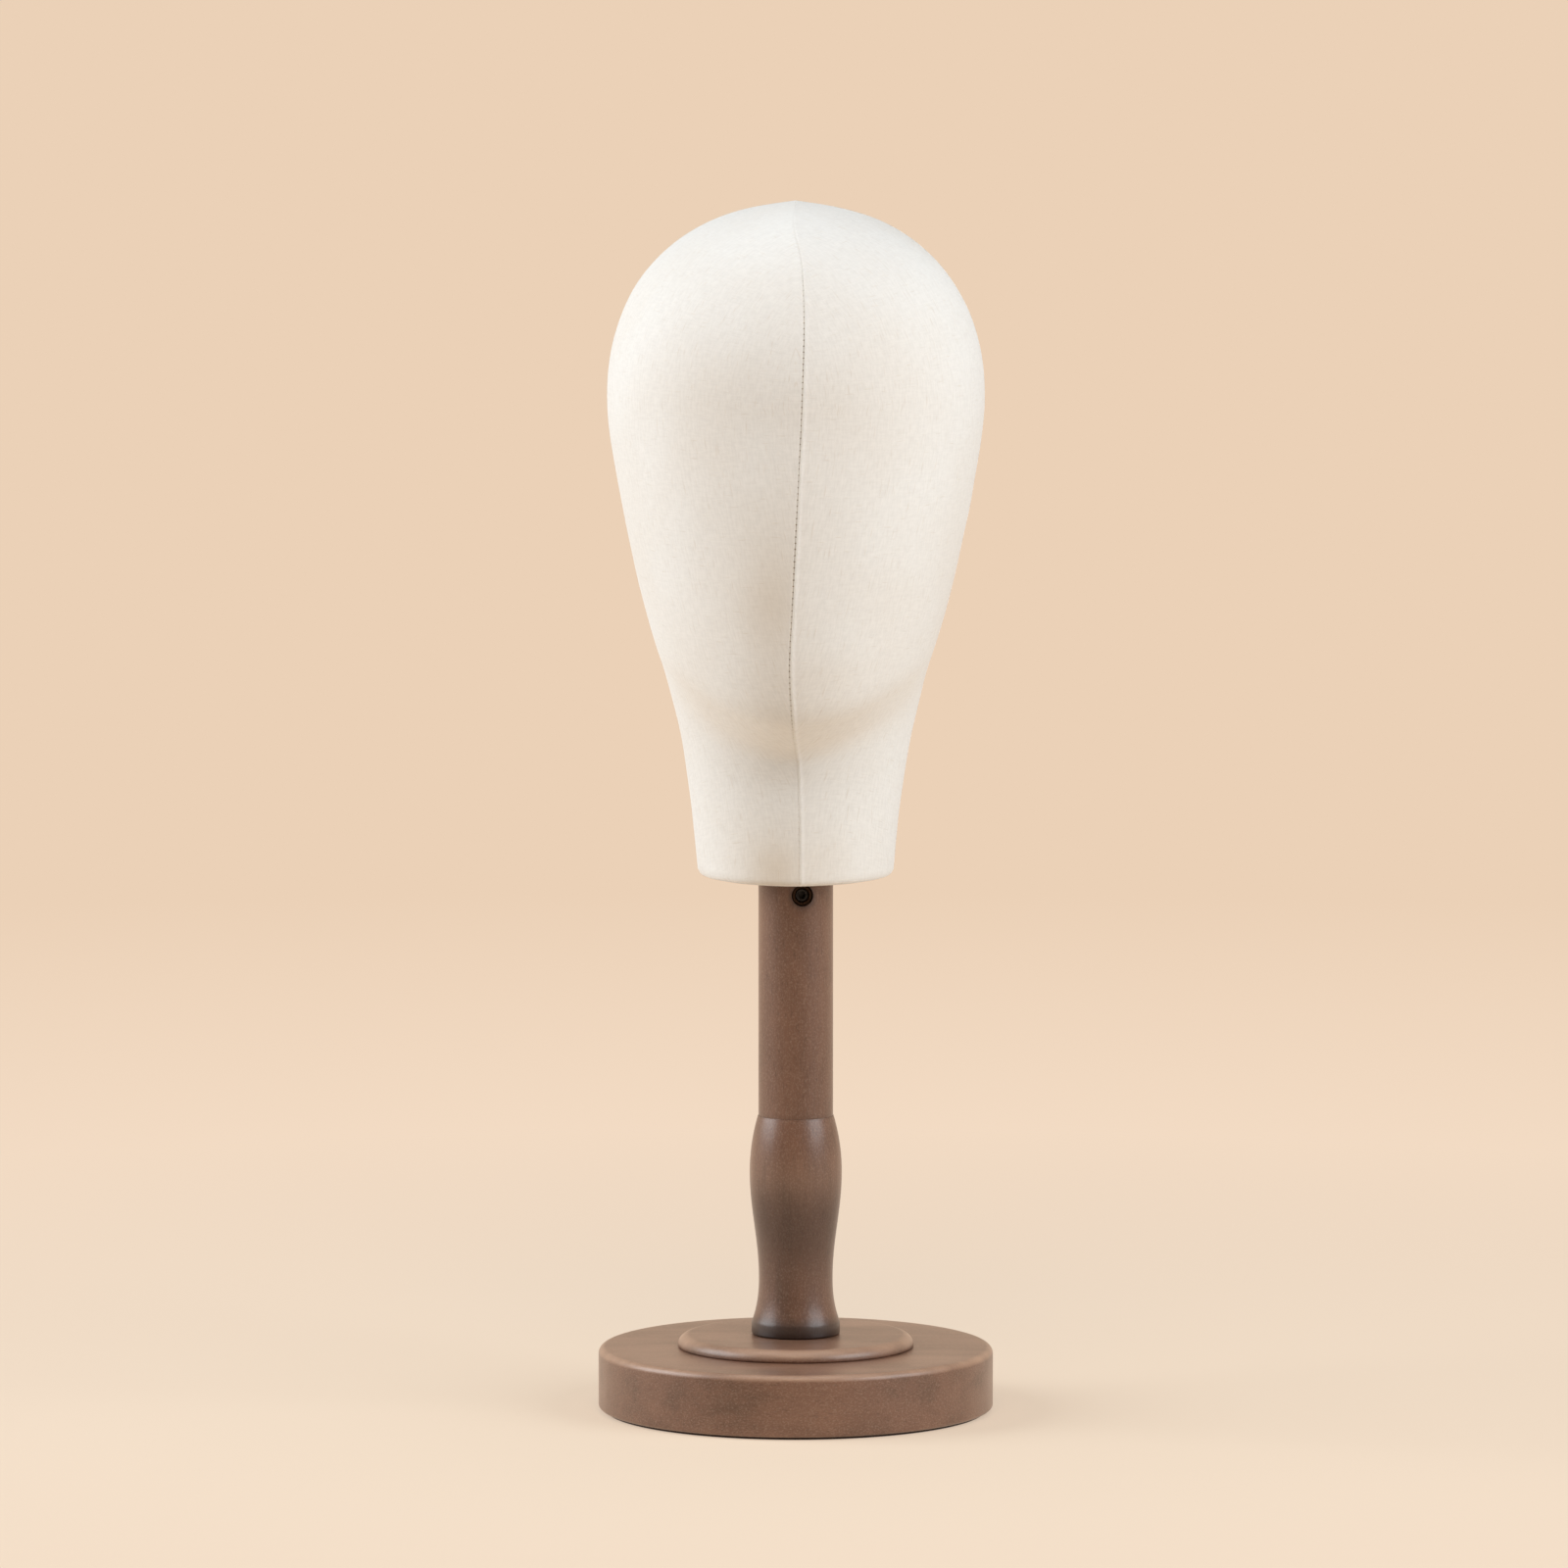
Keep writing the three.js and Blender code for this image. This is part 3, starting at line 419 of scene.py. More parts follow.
def keel_at(u, turn, points):
    """How far the cloth stands out towards the seam in front or behind, and how far away that seam is."""
    side, rise, _ = seam_at(u)
    front = np.cos(turn) > 0
    beside = points[..., 0] - np.where(front, side, 0)
    away = np.abs(beside)
    late = LATE_SHARE * front * (beside < 0) * np.interp(u, LATE_RINGS, (0, 1))
    return rise * between(np.exp(-away / KEEL_WIDTH), bell(away, 0, LATE_FALL), late), away


def cloth_ground(u, turns):
    """The head's surface at rings of turns, the directions out of it, the keel and how far the seam is."""
    surface = head_point(u[:, None], turns)
    return surface, outward(u[:, None], turns), *keel_at(u[:, None], turns, surface)


def rim_point(turn, inset, level):
    """Points of the neck's rim, drawn in by an inset and set at a level."""
    step, rim = 1e-3, np.full_like(turn, 2.0)
    point = head_point(rim, turn)
    along = head_point(rim, turn + step) - head_point(rim, turn - step)
    inwards = np.stack([-along[..., 1], along[..., 0], 0 * turn], axis=-1)
    inwards /= np.linalg.norm(inwards, axis=-1, keepdims=True)
    keel, _ = keel_at(rim, turn, point)
    point = point + inwards * (inset - keel[..., None])
    point[..., 2] = level
    return point


def row_places(spacing):
    """Rings from just under the crown to the edge of the neck, about evenly spaced over the surface."""
    fine = np.linspace(0, 2 - EDGE_LEVEL / BROW_HEIGHT, 3000)
    lengths = [
        np.linalg.norm(np.diff(head_point(fine, np.full_like(fine, turn)), axis=0), axis=1)
        for turn in (0.0, math.pi / 2, math.pi)
    ]
    reached = np.concatenate([[0], np.cumsum(sum(lengths) / len(lengths))])
    count = round(reached[-1] / spacing)
    return np.interp(np.linspace(0, reached[-1], count + 1)[1:], reached, fine)


def panel_turns(u, side):
    """Turns of a panel's columns in each ring, close together beside the two seams."""
    half = ring(u)[3][:, None]
    near = SEAM_COLUMNS * np.minimum(1, SEAM_COLUMNS_SHARE * half / SEAM_COLUMNS[-1])
    front = seam_turn(u)[:, None] + side * near / half
    back = side * (math.pi - (near / half) ** (NAPE_POWER / 2))[:, ::-1]
    share = np.linspace(0, 1, PANEL_COLUMNS + 2)[1:-1]
    return np.hstack([front, between(front[:, -1:], back[:, :1], share), back])


def relief(u, away, side):
    """How cloth beside a seam departs from the keel: a groove, a ridge and, on the right, the allowance."""
    groove = -seam_at(u)[2] * bell(away, 0, GROOVE_WIDTH)
    height, middle, width = LEFT_RIDGE if side < 0 else RIGHT_RIDGE
    raised = height * bell(away, middle, width)
    if side > 0:
        thickness, reach, edge = ALLOWANCE
        raised = raised + thickness / (1 + np.exp((away - reach) / edge))
    return groove + (1 - bell(u, 0, CROWN_FADE)) * raised


def soiling_and_shade(points, side):
    """Darkening of the linen at points of a finished panel: partly soil from handling, partly painted
    shade.
    """
    beside = bell(np.abs(points[:, 0]), SOILED_AND_SHADE_BESIDE, SOILED_AND_SHADE_WIDTH) * (points[:, 1] < 0)
    spots = [
        (left if side < 0 else right) * bell(points[:, 2], level, height)
        for level, height, left, right in SOILED_AND_SHADE_SPOTS
    ]
    return beside * sum(spots)


def crown_point():
    """The crown, where the seam stands out from the dome."""
    _, rise, groove = seam_at(np.array(0.0))
    return head_point(np.array(0.0), np.array(0.0)) + (0, 0, rise - groove)


def lumps(points):
    """Unevenness of the stuffing under the cloth."""
    flat = [Vector(p) for p in points.reshape(-1, 3)]
    heights = [
        height * np.array([noise.noise(p * pace + Vector(start)) for p in flat])
        for height, pace, start in LUMPS
    ]
    return sum(heights).reshape(points.shape[:-1])


def cut_places(points, u, side):
    """Where each point lay on the flat cloth: across from the middle of the side, and up from the brow."""
    _, front, back, half, _, _ = ring(u)
    half, reach, middle = half[:, None], ((front + back) / 2)[:, None], ((back - front) / 2)[:, None]
    dome = (u <= 1)[:, None]
    wide = np.where(dome, HEAD_HALF_WIDTH, half)
    tilt = np.arccos(np.clip(np.abs(points[..., 0]) / wide, 0, 1))
    y, z = points[..., 1] - middle, points[..., 2] - BROW_HEIGHT
    length = np.maximum(np.hypot(y, z), 1e-9)
    mean_round = (HEAD_HALF_WIDTH + (FACE_REACH + OCCIPUT_REACH) / 2) / 2
    steps = np.linalg.norm(np.diff(points, axis=0), axis=-1)
    down = np.vstack([np.zeros((1, points.shape[1])), np.cumsum(steps, axis=0)])
    down = down - down[int(np.searchsorted(u, 1))]
    across = np.where(dome, tilt * mean_round * y / length, np.sign(y) * tilt * (wide + reach) / 2)
    up = np.where(dome, tilt * mean_round * z / length, -down)
    return np.stack([across + (CUTS_APART if side < 0 else 0), up], axis=-1)


# Meshes


def mesh_piece(name, points, faces, material, smooth_angle=None):
    """A new object from points and faces, its faces turned outwards."""
    mesh = bpy.data.meshes.new(name)
    mesh.from_pydata([tuple(p) for p in points], [], faces)
    build = bmesh.new()
    build.from_mesh(mesh)
    bmesh.ops.recalc_face_normals(build, faces=build.faces)
    build.to_mesh(mesh)
    build.free()
    mesh.shade_smooth()
    if smooth_angle:
        mesh.set_sharp_from_angle(angle=math.radians(smooth_angle))
    mesh.materials.append(material)
    return put(name, mesh)


def store(made, name, values, kind="FLOAT"):
    """Keeps one value or vector for each point of a piece, for its material or a node tree."""
    attribute = made.data.attributes.new(name, kind, "POINT")
    key = "value" if kind == "FLOAT" else "vector"
    attribute.data.foreach_set(key, np.asarray(values, np.float32).ravel())


def strips(rows, columns, start, closed=False):
    """Faces of a grid of points; a closed grid's last column joins its first."""
    return [
        (
            start + r * columns + c,
            start + (r + 1) * columns + c,
            start + (r + 1) * columns + (c + 1) % columns,
            start + r * columns + (c + 1) % columns,
        )
        for r in range(rows - 1)
        for c in range(columns if closed else columns - 1)
    ]


def wall(outer, inner, closed):
    """Points and faces of a shell between two skins, each a pole and its rings from the top down."""
    points, faces, edges = [], [], []
    for pole, rings in (outer, inner):
        base = len(points)
        points += [pole, *rings.reshape(-1, 3)]
        rows, columns = rings.shape[:2]
        spans = columns if closed else columns - 1
        faces += [(base, base + 1 + c, base + 1 + (c + 1) % columns) for c in range(spans)]
        faces += strips(rows, columns, base + 1, closed)
        last = [base + 1 + (rows - 1) * columns + c for c in range(columns)]
        if closed:
            edges.append([*last, last[0]])
            continue
        front = [base + 1 + r * columns for r in range(rows)]
        back = [base + r * columns for r in range(rows, 0, -1)]
        edges.append([base, *front, *last[1:-1], *back, base])
    outside, inside = edges
    for i in range(len(outside) - 1):
        faces.append((outside[i], outside[i + 1], inside[i + 1], inside[i]))
    return np.array(points), faces


def head_origin():
    """Height of the underside of the neck, where the head's own heights start."""
    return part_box("neck_cloth")[0].z


def ride_for(made, node):
    """Sets a piece in the place of a node of the frame, with its body."""
    bodies = frame["record"]["behaviour"]["bodies"]
    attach(made, next(body for body, nodes in bodies.items() if node in nodes))
    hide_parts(node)


def finish_node(node, material):
    """Gives a node of the frame its finish."""
    mesh = frame["nodes"][node].data
    mesh.materials.clear()
    mesh.materials.append(material)


# Materials


def start_material(name):
    """A new material, its empty tree and the place on the object that its patterns follow."""
    made = bpy.data.materials.new(name)
    made.use_nodes = True
    tree = made.node_tree
    tree.nodes.clear()
    return made, tree, add(tree, "ShaderNodeTexCoord").outputs["Object"]


def shade(made, inputs):
    """Gives a material its shader, with values or nodes for its inputs, and its output."""
    shader = add(made.node_tree, "ShaderNodeBsdfPrincipled", inputs)
    add(made.node_tree, "ShaderNodeOutputMaterial", {"Surface": shader})
    return made


def drawn_marks(tree, place, scale, detail, roughness, start=(0, 0, 0), **settings):
    """Noise whose marks are drawn out, as many to a metre along each axis as the scale says."""
    mapped = add(tree, "ShaderNodeMapping", {"Vector": place, "Scale": scale, "Location": start})
    inputs = {"Vector": mapped, "Scale": 1.0, "Detail": detail, "Roughness": roughness}
    return add(tree, "ShaderNodeTexNoise", inputs, **settings)


def toned(tree, pattern, first, last, strength, depth):
    """The inputs of a shader whose colour and relief follow a pattern, each colour with its place on it."""
    tone = ramp(add(tree, "ShaderNodeValToRGB", {"Fac": pattern}), first, last)
    bump = add(tree, "ShaderNodeBump", {"Height": pattern, "Strength": strength, "Distance": depth})
    return {"Base Color": tone, "Normal": bump}


def laid_over(tree, colour, *layers):
    """Lays colours over another one, each by its share."""
    for share, over in layers:
        # A node that mixes colours takes the share at 0 and the colours at 6 and 7
        colour = add(tree, "ShaderNodeMix", {0: share, 6: colour, 7: rgba(over)}, data_type="RGBA")
    return colour


def seam_shade_strength(tree, place):
    """How strongly the seam's painted shade shows: fully down the face, hardly over the crown and on the
    neck.
    """
    low, high = SEAM_SHOWS[0][0], SEAM_SHOWS[-1][0]
    level = add(tree, "ShaderNodeSeparateXYZ", {"Vector": place}).outputs["Z"]
    share = add(tree, "ShaderNodeMapRange", (level, low, high))
    stops = [((at - low) / (high - low), (shown, shown, shown)) for at, shown in SEAM_SHOWS]
    return ramp(add(tree, "ShaderNodeValToRGB", {"Fac": share}), *stops)


def slubby_linen(settings):
    """Undyed plain-weave linen: matt, with uneven threads both ways, slubs, painted shade in the seams'
    groove, and darkening beside the front seam that is partly soil and partly painted shade.
    """
    made, tree, place = start_material("undyed slubby linen")
    cut = add(tree, "ShaderNodeUVMap", uv_map="cut")

    def threads(across, along, start, detail):
        """Marks on the flat cloth, as many to a metre across and along it as given."""
        scale, start = (across, along, 1), (start, start, 0)
        return drawn_marks(tree, cut, scale, detail, 0.55, start, noise_dimensions="2D")

    # Threads of 0.5 mm are too fine to show in the render, so they are drawn 1.1 mm wide
    warp = threads(900, 200, 3.1, 2)
    weft = threads(200, 900, 11.7, 2)
    # The warp shows more than the weft
    weave = add(tree, "ShaderNodeMath", (weft, 0.7, warp), operation="MULTIPLY_ADD")
    # Slubs are 1 mm wide and 8 mm long
    slub_up = add(tree, "ShaderNodeMapRange", (threads(1000, 120, 21.3, 1), 0.66, 0.82))
    slub_flat = add(tree, "ShaderNodeMapRange", (threads(120, 1000, 31.9, 1), 0.7, 0.86))
    slubs = add(tree, "ShaderNodeMath", (slub_up, slub_flat), operation="MAXIMUM")
    slubs_seen = add(tree, "ShaderNodeMath", (slubs, 0.24), operation="MULTIPLY")

    # The bleach is uneven in patches about 60 mm across
    inputs = {"Vector": place, "Scale": 16.0, "Detail": 2.0, "Roughness": 0.5}
    patches = add(tree, "ShaderNodeTexNoise", inputs)
    bleached = add(tree, "ShaderNodeMapRange", (patches, 0.35, 0.65))
    tone = laid_over(tree, rgba(settings.pale), (bleached, settings.warm))
    grey = add(tree, "ShaderNodeMapRange", (weave, 0.6, 1.1, 0.955, 1.02))
    inputs = {0: 1.0, 6: tone, 7: grey}
    woven = add(tree, "ShaderNodeMix", inputs, data_type="RGBA", blend_type="MULTIPLY")
    # Darkening beside the front seam: partly soil from handling, partly painted shade
    soiled = add(tree, "ShaderNodeAttribute", attribute_name="soiled").outputs["Fac"]
    seam = add(tree, "ShaderNodeAttribute", attribute_name="seam").outputs["Fac"]
    # Painted shade in the seam's groove, darkest within 0.1 mm of the seam and gone by 0.5 mm
    inputs = (seam, 0.1 * MM, 0.5 * MM, 0.14, 0.0)
    close = add(tree, "ShaderNodeMapRange", inputs, interpolation_type="SMOOTHSTEP")
    drawn = add(tree, "ShaderNodeMath", (close, seam_shade_strength(tree, place)), operation="MULTIPLY")
    layers = ((slubs_seen, settings.slub), (soiled, LINEN_SOILED_AND_SHADE), (drawn, SEAM_PAINTED_SHADE))

    raised = add(tree, "ShaderNodeMath", (weave, slubs), operation="ADD")
    bump = add(tree, "ShaderNodeBump", {"Height": raised, "Strength": 0.4, "Distance": 0.1 * MM})
    inputs = {
        "Base Color": laid_over(tree, woven, *layers),
        "Roughness": add(tree, "ShaderNodeMapRange", (warp, 0.3, 0.7, 0.86, 0.98)),
        "Normal": bump,
        "Sheen Weight": 0.04,
        "Sheen Roughness": 0.5,
        "Specular IOR Level": 0.15,
    }
    return shade(made, inputs)


def linen_thread():
    """Waxed linen sewing thread: two plies with a twist of 0.55 mm, a little smoother than the cloth."""
    made, tree, place = start_material("waxed linen thread")
    twist = add(tree, "ShaderNodeTexNoise", {"Vector": place, "Scale": 1800.0, "Detail": 1.0})
    inputs = toned(tree, twist, (0.35, THREAD_DARK), (0.6, THREAD_PALE), 0.4, 0.05 * MM)
    # The thread has the cloth's colour over the crown and on the neck; its darker tones down the face
    # are painted shade of the groove and the needle holes
    colours = {0: seam_shade_strength(tree, place), 6: rgba(LINEN_WARM), 7: inputs["Base Color"]}
    inputs["Base Color"] = add(tree, "ShaderNodeMix", colours, data_type="RGBA")
    return shade(made, inputs | {"Roughness": 0.7})


def cotton_wadding():
    """Needled cotton wadding: matt white, with tufts about 4 mm wide."""
    made, tree, place = start_material("needled cotton wadding")
    inputs = {"Vector": place, "Scale": 260.0, "Detail": 5.0, "Roughness": 0.65}
    tufts = add(tree, "ShaderNodeTexNoise", inputs)
    inputs = toned(tree, tufts, (0.3, "#d9d4c6"), (0.65, "#ece9e0"), 0.8, 0.8 * MM)
    return shade(made, inputs | {"Roughness": 1.0, "Sheen Weight": 0.3})


def stained_beech(name, grain, settings):
    """Turned beech, wiped with brown stain and given a satin lacquer: short dark flecks along the grain,
    dusty pores, uneven stain, darkening with painted shade and shadow where a piece is marked dark, and
    paler edges that are partly rubbed and partly a painted highlight."""
    made, tree, place = start_material(name)

    def along_grain(width, length, detail, roughness=0.55):
        """Noise whose marks are so wide and so long, in metres, with their length along the grain."""
        scale = [1 / length if i == grain else 1 / width for i in range(3)]
        return drawn_marks(tree, place, scale, detail, roughness)

    figure = along_grain(14 * MM, 70 * MM, 3)
    fibres = along_grain(1.1 * MM, 16 * MM, 3, 0.65)
    # Flecks of 0.3 mm by 2 mm are drawn twice as wide, to show
    flecks = along_grain(0.7 * MM, 3.2 * MM, 1)
    pores = along_grain(0.6 * MM, 0.9 * MM, 2, 0.6)
    cloudy = along_grain(24 * MM, 36 * MM, 2)

    stain = add(tree, "ShaderNodeMath", (figure, cloudy), operation="ADD")
    mixed = add(tree, "ShaderNodeMath", (fibres, 0.55, stain), operation="MULTIPLY_ADD")
    share = add(tree, "ShaderNodeMapRange", (mixed, 0.95, 1.6))
    tones = ((0.0, settings.dark), (0.45, settings.middle), (1.0, settings.light))
    tone = ramp(add(tree, "ShaderNodeValToRGB", {"Fac": share}), *tones)
    dark = add(tree, "ShaderNodeAttribute", attribute_name="dark").outputs["Fac"]
    worn = add(tree, "ShaderNodeAttribute", attribute_name="worn").outputs["Fac"]
    layers = (
        (add(tree, "ShaderNodeMapRange", (pores, 0.48, 0.72, 0.0, 0.4)), BEECH_DUST),
        (add(tree, "ShaderNodeMapRange", (flecks, 0.62, 0.72, 0.0, 0.35)), BEECH_FLECK),
        # Darker places on the post: painted shade at the foot and hollow, painted shadow below the head
        (dark, DARKER_AND_PAINTED_SHADE),
        # Paler rubbed places; on the edges of the base and step partly a painted highlight
        (add(tree, "ShaderNodeMath", (worn, figure), operation="MULTIPLY"), BEECH_RUBBED_AND_HIGHLIGHT),
    )

    grooved = add(tree, "ShaderNodeMath", (flecks, -0.6, fibres), operation="MULTIPLY_ADD")
    height = add(tree, "ShaderNodeMath", (pores, 0.8, grooved), operation="MULTIPLY_ADD")
    bump = add(tree, "ShaderNodeBump", {"Height": height, "Strength": 0.5, "Distance": 0.08 * MM})
    inputs = {
        "Base Color": laid_over(tree, tone, *layers),
        "Roughness": add(tree, "ShaderNodeMapRange", (mixed, 0.9, 1.6, 0.54, 0.46)),
        "Normal": bump,
        "Coat Normal": bump,
        "Specular IOR Level": 0.4,
        "Coat Weight": 0.7,
        "Coat Roughness": 0.3,
    }
    return shade(made, inputs)


def metal(name, pale, dark, grit, smoothest, roughest, streak=1.0):
    """A metal whose tone and roughness vary with marks of one size, drawn out round or along the piece."""
    made, tree, place = start_material(name)
    marks = drawn_marks(tree, place, (1 / grit, 1 / grit, streak / grit), 4.0, 0.6)
    inputs = toned(tree, marks, (0.3, dark), (0.7, pale), 0.2, 0.02 * MM)
    rough = add(tree, "ShaderNodeMapRange", (marks, 0.3, 0.7, smoothest, roughest))
    return shade(made, inputs | {"Roughness": rough, "Metallic": 1.0})


def zinc_plate():
    """Bright zinc plate on steel: pale grey with fine drawn lines."""
    return metal("zinc-plated steel", "#c9cbcd", "#9a9da1", 0.9 * MM, 0.24, 0.4, 0.15)


def ground_steel():
    """Centreless-ground bright steel rod: fine rings round it, drawn 0.8 mm apart to show."""
    return metal("ground bright steel", "#c4c6c8", "#a5a8ab", 12.0 * MM, 0.18, 0.3, 15.0)


def black_oxide():
    """Black oxide on steel: nearly black, slightly worn to grey."""
    return metal("black oxide steel", "#4a4643", "#1f1c1a", 0.5 * MM, 0.3, 0.5)


def browned_steel():
    """Chemically browned steel: dark brown and dull."""
    return metal("browned steel", "#4d382a", "#2b1e16", 0.5 * MM, 0.55, 0.7)


def drawn_brass():
    """Drawn brass tube: warm yellow with fine lines along it."""
    return metal("drawn brass", "#c9a85e", "#9c7c3c", 0.8 * MM, 0.26, 0.42, 0.12)


def pressed_felt():
    """Pressed wool felt: dark brown and matt, its hairs matted in tufts 1.4 mm wide."""
    made, tree, place = start_material("pressed wool felt")
    inputs = {"Vector": place, "Scale": 700.0, "Detail": 6.0, "Roughness": 0.75, "Distortion": 0.8}
    hairs = add(tree, "ShaderNodeTexNoise", inputs)
    inputs = toned(tree, hairs, (0.3, "#221813"), (0.7, "#43322a"), 0.9, 0.4 * MM)
    return shade(made, inputs | {"Roughness": 0.98, "Sheen Weight": 0.25})


def papier_mache():
    """Layered paper pulp, dried on a mould: torn sheets about 26 mm wide with soft edges, lumps of pulp
    about 2.4 mm wide, rough and warm grey-brown."""
    made, tree, place = start_material("layered paper pulp")
    inputs = {"Vector": place, "Scale": 38.0, "Smoothness": 0.3}
    sheets = add(tree, "ShaderNodeTexVoronoi", inputs, feature="SMOOTH_F1")
    inputs = {"Vector": place, "Scale": 420.0, "Detail": 5.0, "Roughness": 0.7}
    pulp = add(tree, "ShaderNodeTexNoise", inputs)
    mixed = add(tree, "ShaderNodeMath", (pulp, 0.5, sheets), operation="MULTIPLY_ADD")
    inputs = toned(tree, mixed, (0.3, "#8a7459"), (0.9, "#b09a7c"), 0.7, 0.5 * MM)
    return shade(made, inputs | {"Roughness": 0.92})


def sawn_board():
    """Bare sawn pine: pale, with growth rings 5 mm apart and saw marks 2.4 mm wide and 33 mm long."""
    made, tree, place = start_material("bare sawn pine")
    grain = drawn_marks(tree, place, (30, 420, 420), 4.0, 0.6)
    inputs = {"Vector": place, "Scale": 60.0, "Distortion": 3.0, "Detail": 2.0}
    rings = add(tree, "ShaderNodeTexWave", inputs, bands_direction="Y").outputs["Fac"]
    mixed = add(tree, "ShaderNodeMath", (rings, 0.5, grain), operation="MULTIPLY_ADD")
    tone = ramp(add(tree, "ShaderNodeValToRGB", {"Fac": mixed}), (0.3, "#d9bd8f"), (0.9, "#b58f5e"))
    bump = add(tree, "ShaderNodeBump", {"Height": grain, "Strength": 0.5, "Distance": 0.2 * MM})
    return shade(made, {"Base Color": tone, "Normal": bump, "Roughness": 0.75})


# Turned pieces


def arc(centre, radius, first, last, steps=8):
    """Points of an arc of an outline, by degrees from the direction away from the axis."""
    angles = np.radians(np.linspace(first, last, steps + 1))
    return [(centre[0] + radius * math.cos(a), centre[1] + radius * math.sin(a)) for a in angles]


def tube(inner, outer, low, high, edge):
    """The outline of a tube with its upper edges bevelled."""
    bevels = [(outer, high - edge), (outer - edge, high), (inner + edge, high), (inner, high - edge)]
    return [(inner, low), (outer, low), *bevels]


def turned(name, outline, material, sides=TURNED_SIDES, closed=False, smooth_angle=30):
    """A piece turned round the axis from points of radius and height."""
    angles = np.arange(sides) * 2 * math.pi / sides
    points, rings, faces = [], [], []
    for radius, height in outline:
        if radius == 0:
            rings.append([len(points)] * sides)
            points.append((0, 0, height))
            continue
        rings.append(list(range(len(points), len(points) + sides)))
        points += [(radius * math.cos(a), radius * math.sin(a), height) for a in angles]
    for low, high in zip(rings, rings[1:] + rings[:1] if closed else rings[1:]):
        for i in range(sides):
            j = (i + 1) % sides
            faces.append(tuple(dict.fromkeys((low[i], low[j], high[j], high[i]))))
    return mesh_piece(name, points, faces, material, smooth_angle)


def apply_modifiers(made):
    """Gives a piece the mesh that its modifiers make, and removes them."""
    shown = made.evaluated_get(bpy.context.evaluated_depsgraph_get())
    mesh = bpy.data.meshes.new_from_object(shown)
    made.modifiers.clear()
    made.data = mesh


def cut_away(made, tool):
    """Takes a tool's shape out of a piece, and the tool out of the scene."""
    cutter = made.modifiers.new("cut", "BOOLEAN")
    cutter.operation, cutter.solver, cutter.object = "DIFFERENCE", "EXACT", tool
    apply_modifiers(made)
    bpy.data.objects.remove(tool)


def cut_lock_hole(made, radius, end):
    """Bores the lock screw's hole through a piece, from the axis to an end."""
    drill = [(0, 0), (radius, 0), (radius, end), (0, end)]
    tool = turned("drill", drill, made.data.materials[0], INSERT_SIDES)
    tool.data.transform(lock_line()[2])
    cut_away(made, tool)


def drop_slivers(made):
    """Merges the points that a cut leaves less than a micrometre apart."""
    work = bmesh.new()
    work.from_mesh(made.data)
    bmesh.ops.remove_doubles(work, verts=work.verts, dist=0.001 * MM)
    work.to_mesh(made.data)
    work.free()


def lock_line():
    """The lock screw's centre, its direction out of the post, and the matrix that sets a piece on them."""
    joint = next(j for j in frame["record"]["behaviour"]["joints"] if j["child"] == "lock")
    centre, direction = Vector(joint["pos_m"]), Vector(joint["axis"]).normalized()
    turn = direction.to_track_quat("Z", "Y").to_matrix().to_4x4()
    return centre, direction, Matrix.Translation(centre) @ turn


# Settings


class MannequinLinen(bpy.types.PropertyGroup):
    cloth_thickness: FloatProperty(
        name="Cloth thickness", description="Thickness of the linen", default=0.8 * MM, unit="LENGTH"
    )
    stitch_pitch: FloatProperty(
        name="Stitch pitch",
        description="Distance from one stitch of the seams to the next",
        default=2.55 * MM,
        unit="LENGTH",
    )
    stitch_length: FloatProperty(
        name="Stitch length",
        description="Length of a stitch across the seam",
        default=0.95 * MM,
        unit="LENGTH",
    )
    thread_width: FloatProperty(
        name="Thread width", description="Width of the sewing thread", default=0.4 * MM, unit="LENGTH"
    )
    pale: FloatVectorProperty(
        name="Pale linen",
        description="Lighter colour of the linen",
        default=linear(LINEN_PALE),
        subtype="COLOR",
    )
    warm: FloatVectorProperty(
        name="Warm linen",
        description="Warmer colour of the linen",
        default=linear(LINEN_WARM),
        subtype="COLOR",
    )
    slub: FloatVectorProperty(
        name="Slubs",
        description="Colour of the thick places in the threads",
        default=linear(LINEN_SLUB),
        subtype="COLOR",
    )


class MannequinWood(bpy.types.PropertyGroup):
    light: FloatVectorProperty(
        name="Light stain",
        description="Colour of the wood where it took the least stain",
        default=linear(BEECH_LIGHT),
        subtype="COLOR",
    )
    middle: FloatVectorProperty(
        name="Middle stain",
        description="Colour of most of the wood",
        default=linear(BEECH_MIDDLE),
        subtype="COLOR",
    )
    dark: FloatVectorProperty(
        name="Dark stain",
        description="Colour of the wood where it took the most stain",
        default=linear(BEECH_DARK),
        subtype="COLOR",
    )


class MannequinStage(bpy.types.PropertyGroup):
    floor: FloatVectorProperty(
        name="Floor", description="Colour of the floor", default=linear(FLOOR_CREAM), subtype="COLOR"
    )
    backdrop: FloatVectorProperty(
        name="Backdrop",
        description="Colour behind the head",
        default=linear(BACKDROP_PEACH),
        subtype="COLOR",
    )
    left_power: FloatProperty(
        name="Left lamp", description="Power of the lamp left of the head", default=41.0, unit="POWER"
    )
    right_power: FloatProperty(
        name="Right lamp", description="Power of the lamp right of the head", default=33.0, unit="POWER"
    )
    top_power: FloatProperty(
        name="Top lamp", description="Power of the lamp above the head", default=8.6, unit="POWER"
    )
    front_power: FloatProperty(
        name="Front lamp", description="Power of the weak lamp over the camera", default=11.8, unit="POWER"
    )
    ambient: FloatProperty(
        name="Ambient", description="Strength of the light from above the horizon", default=0.0
    )


# Operators


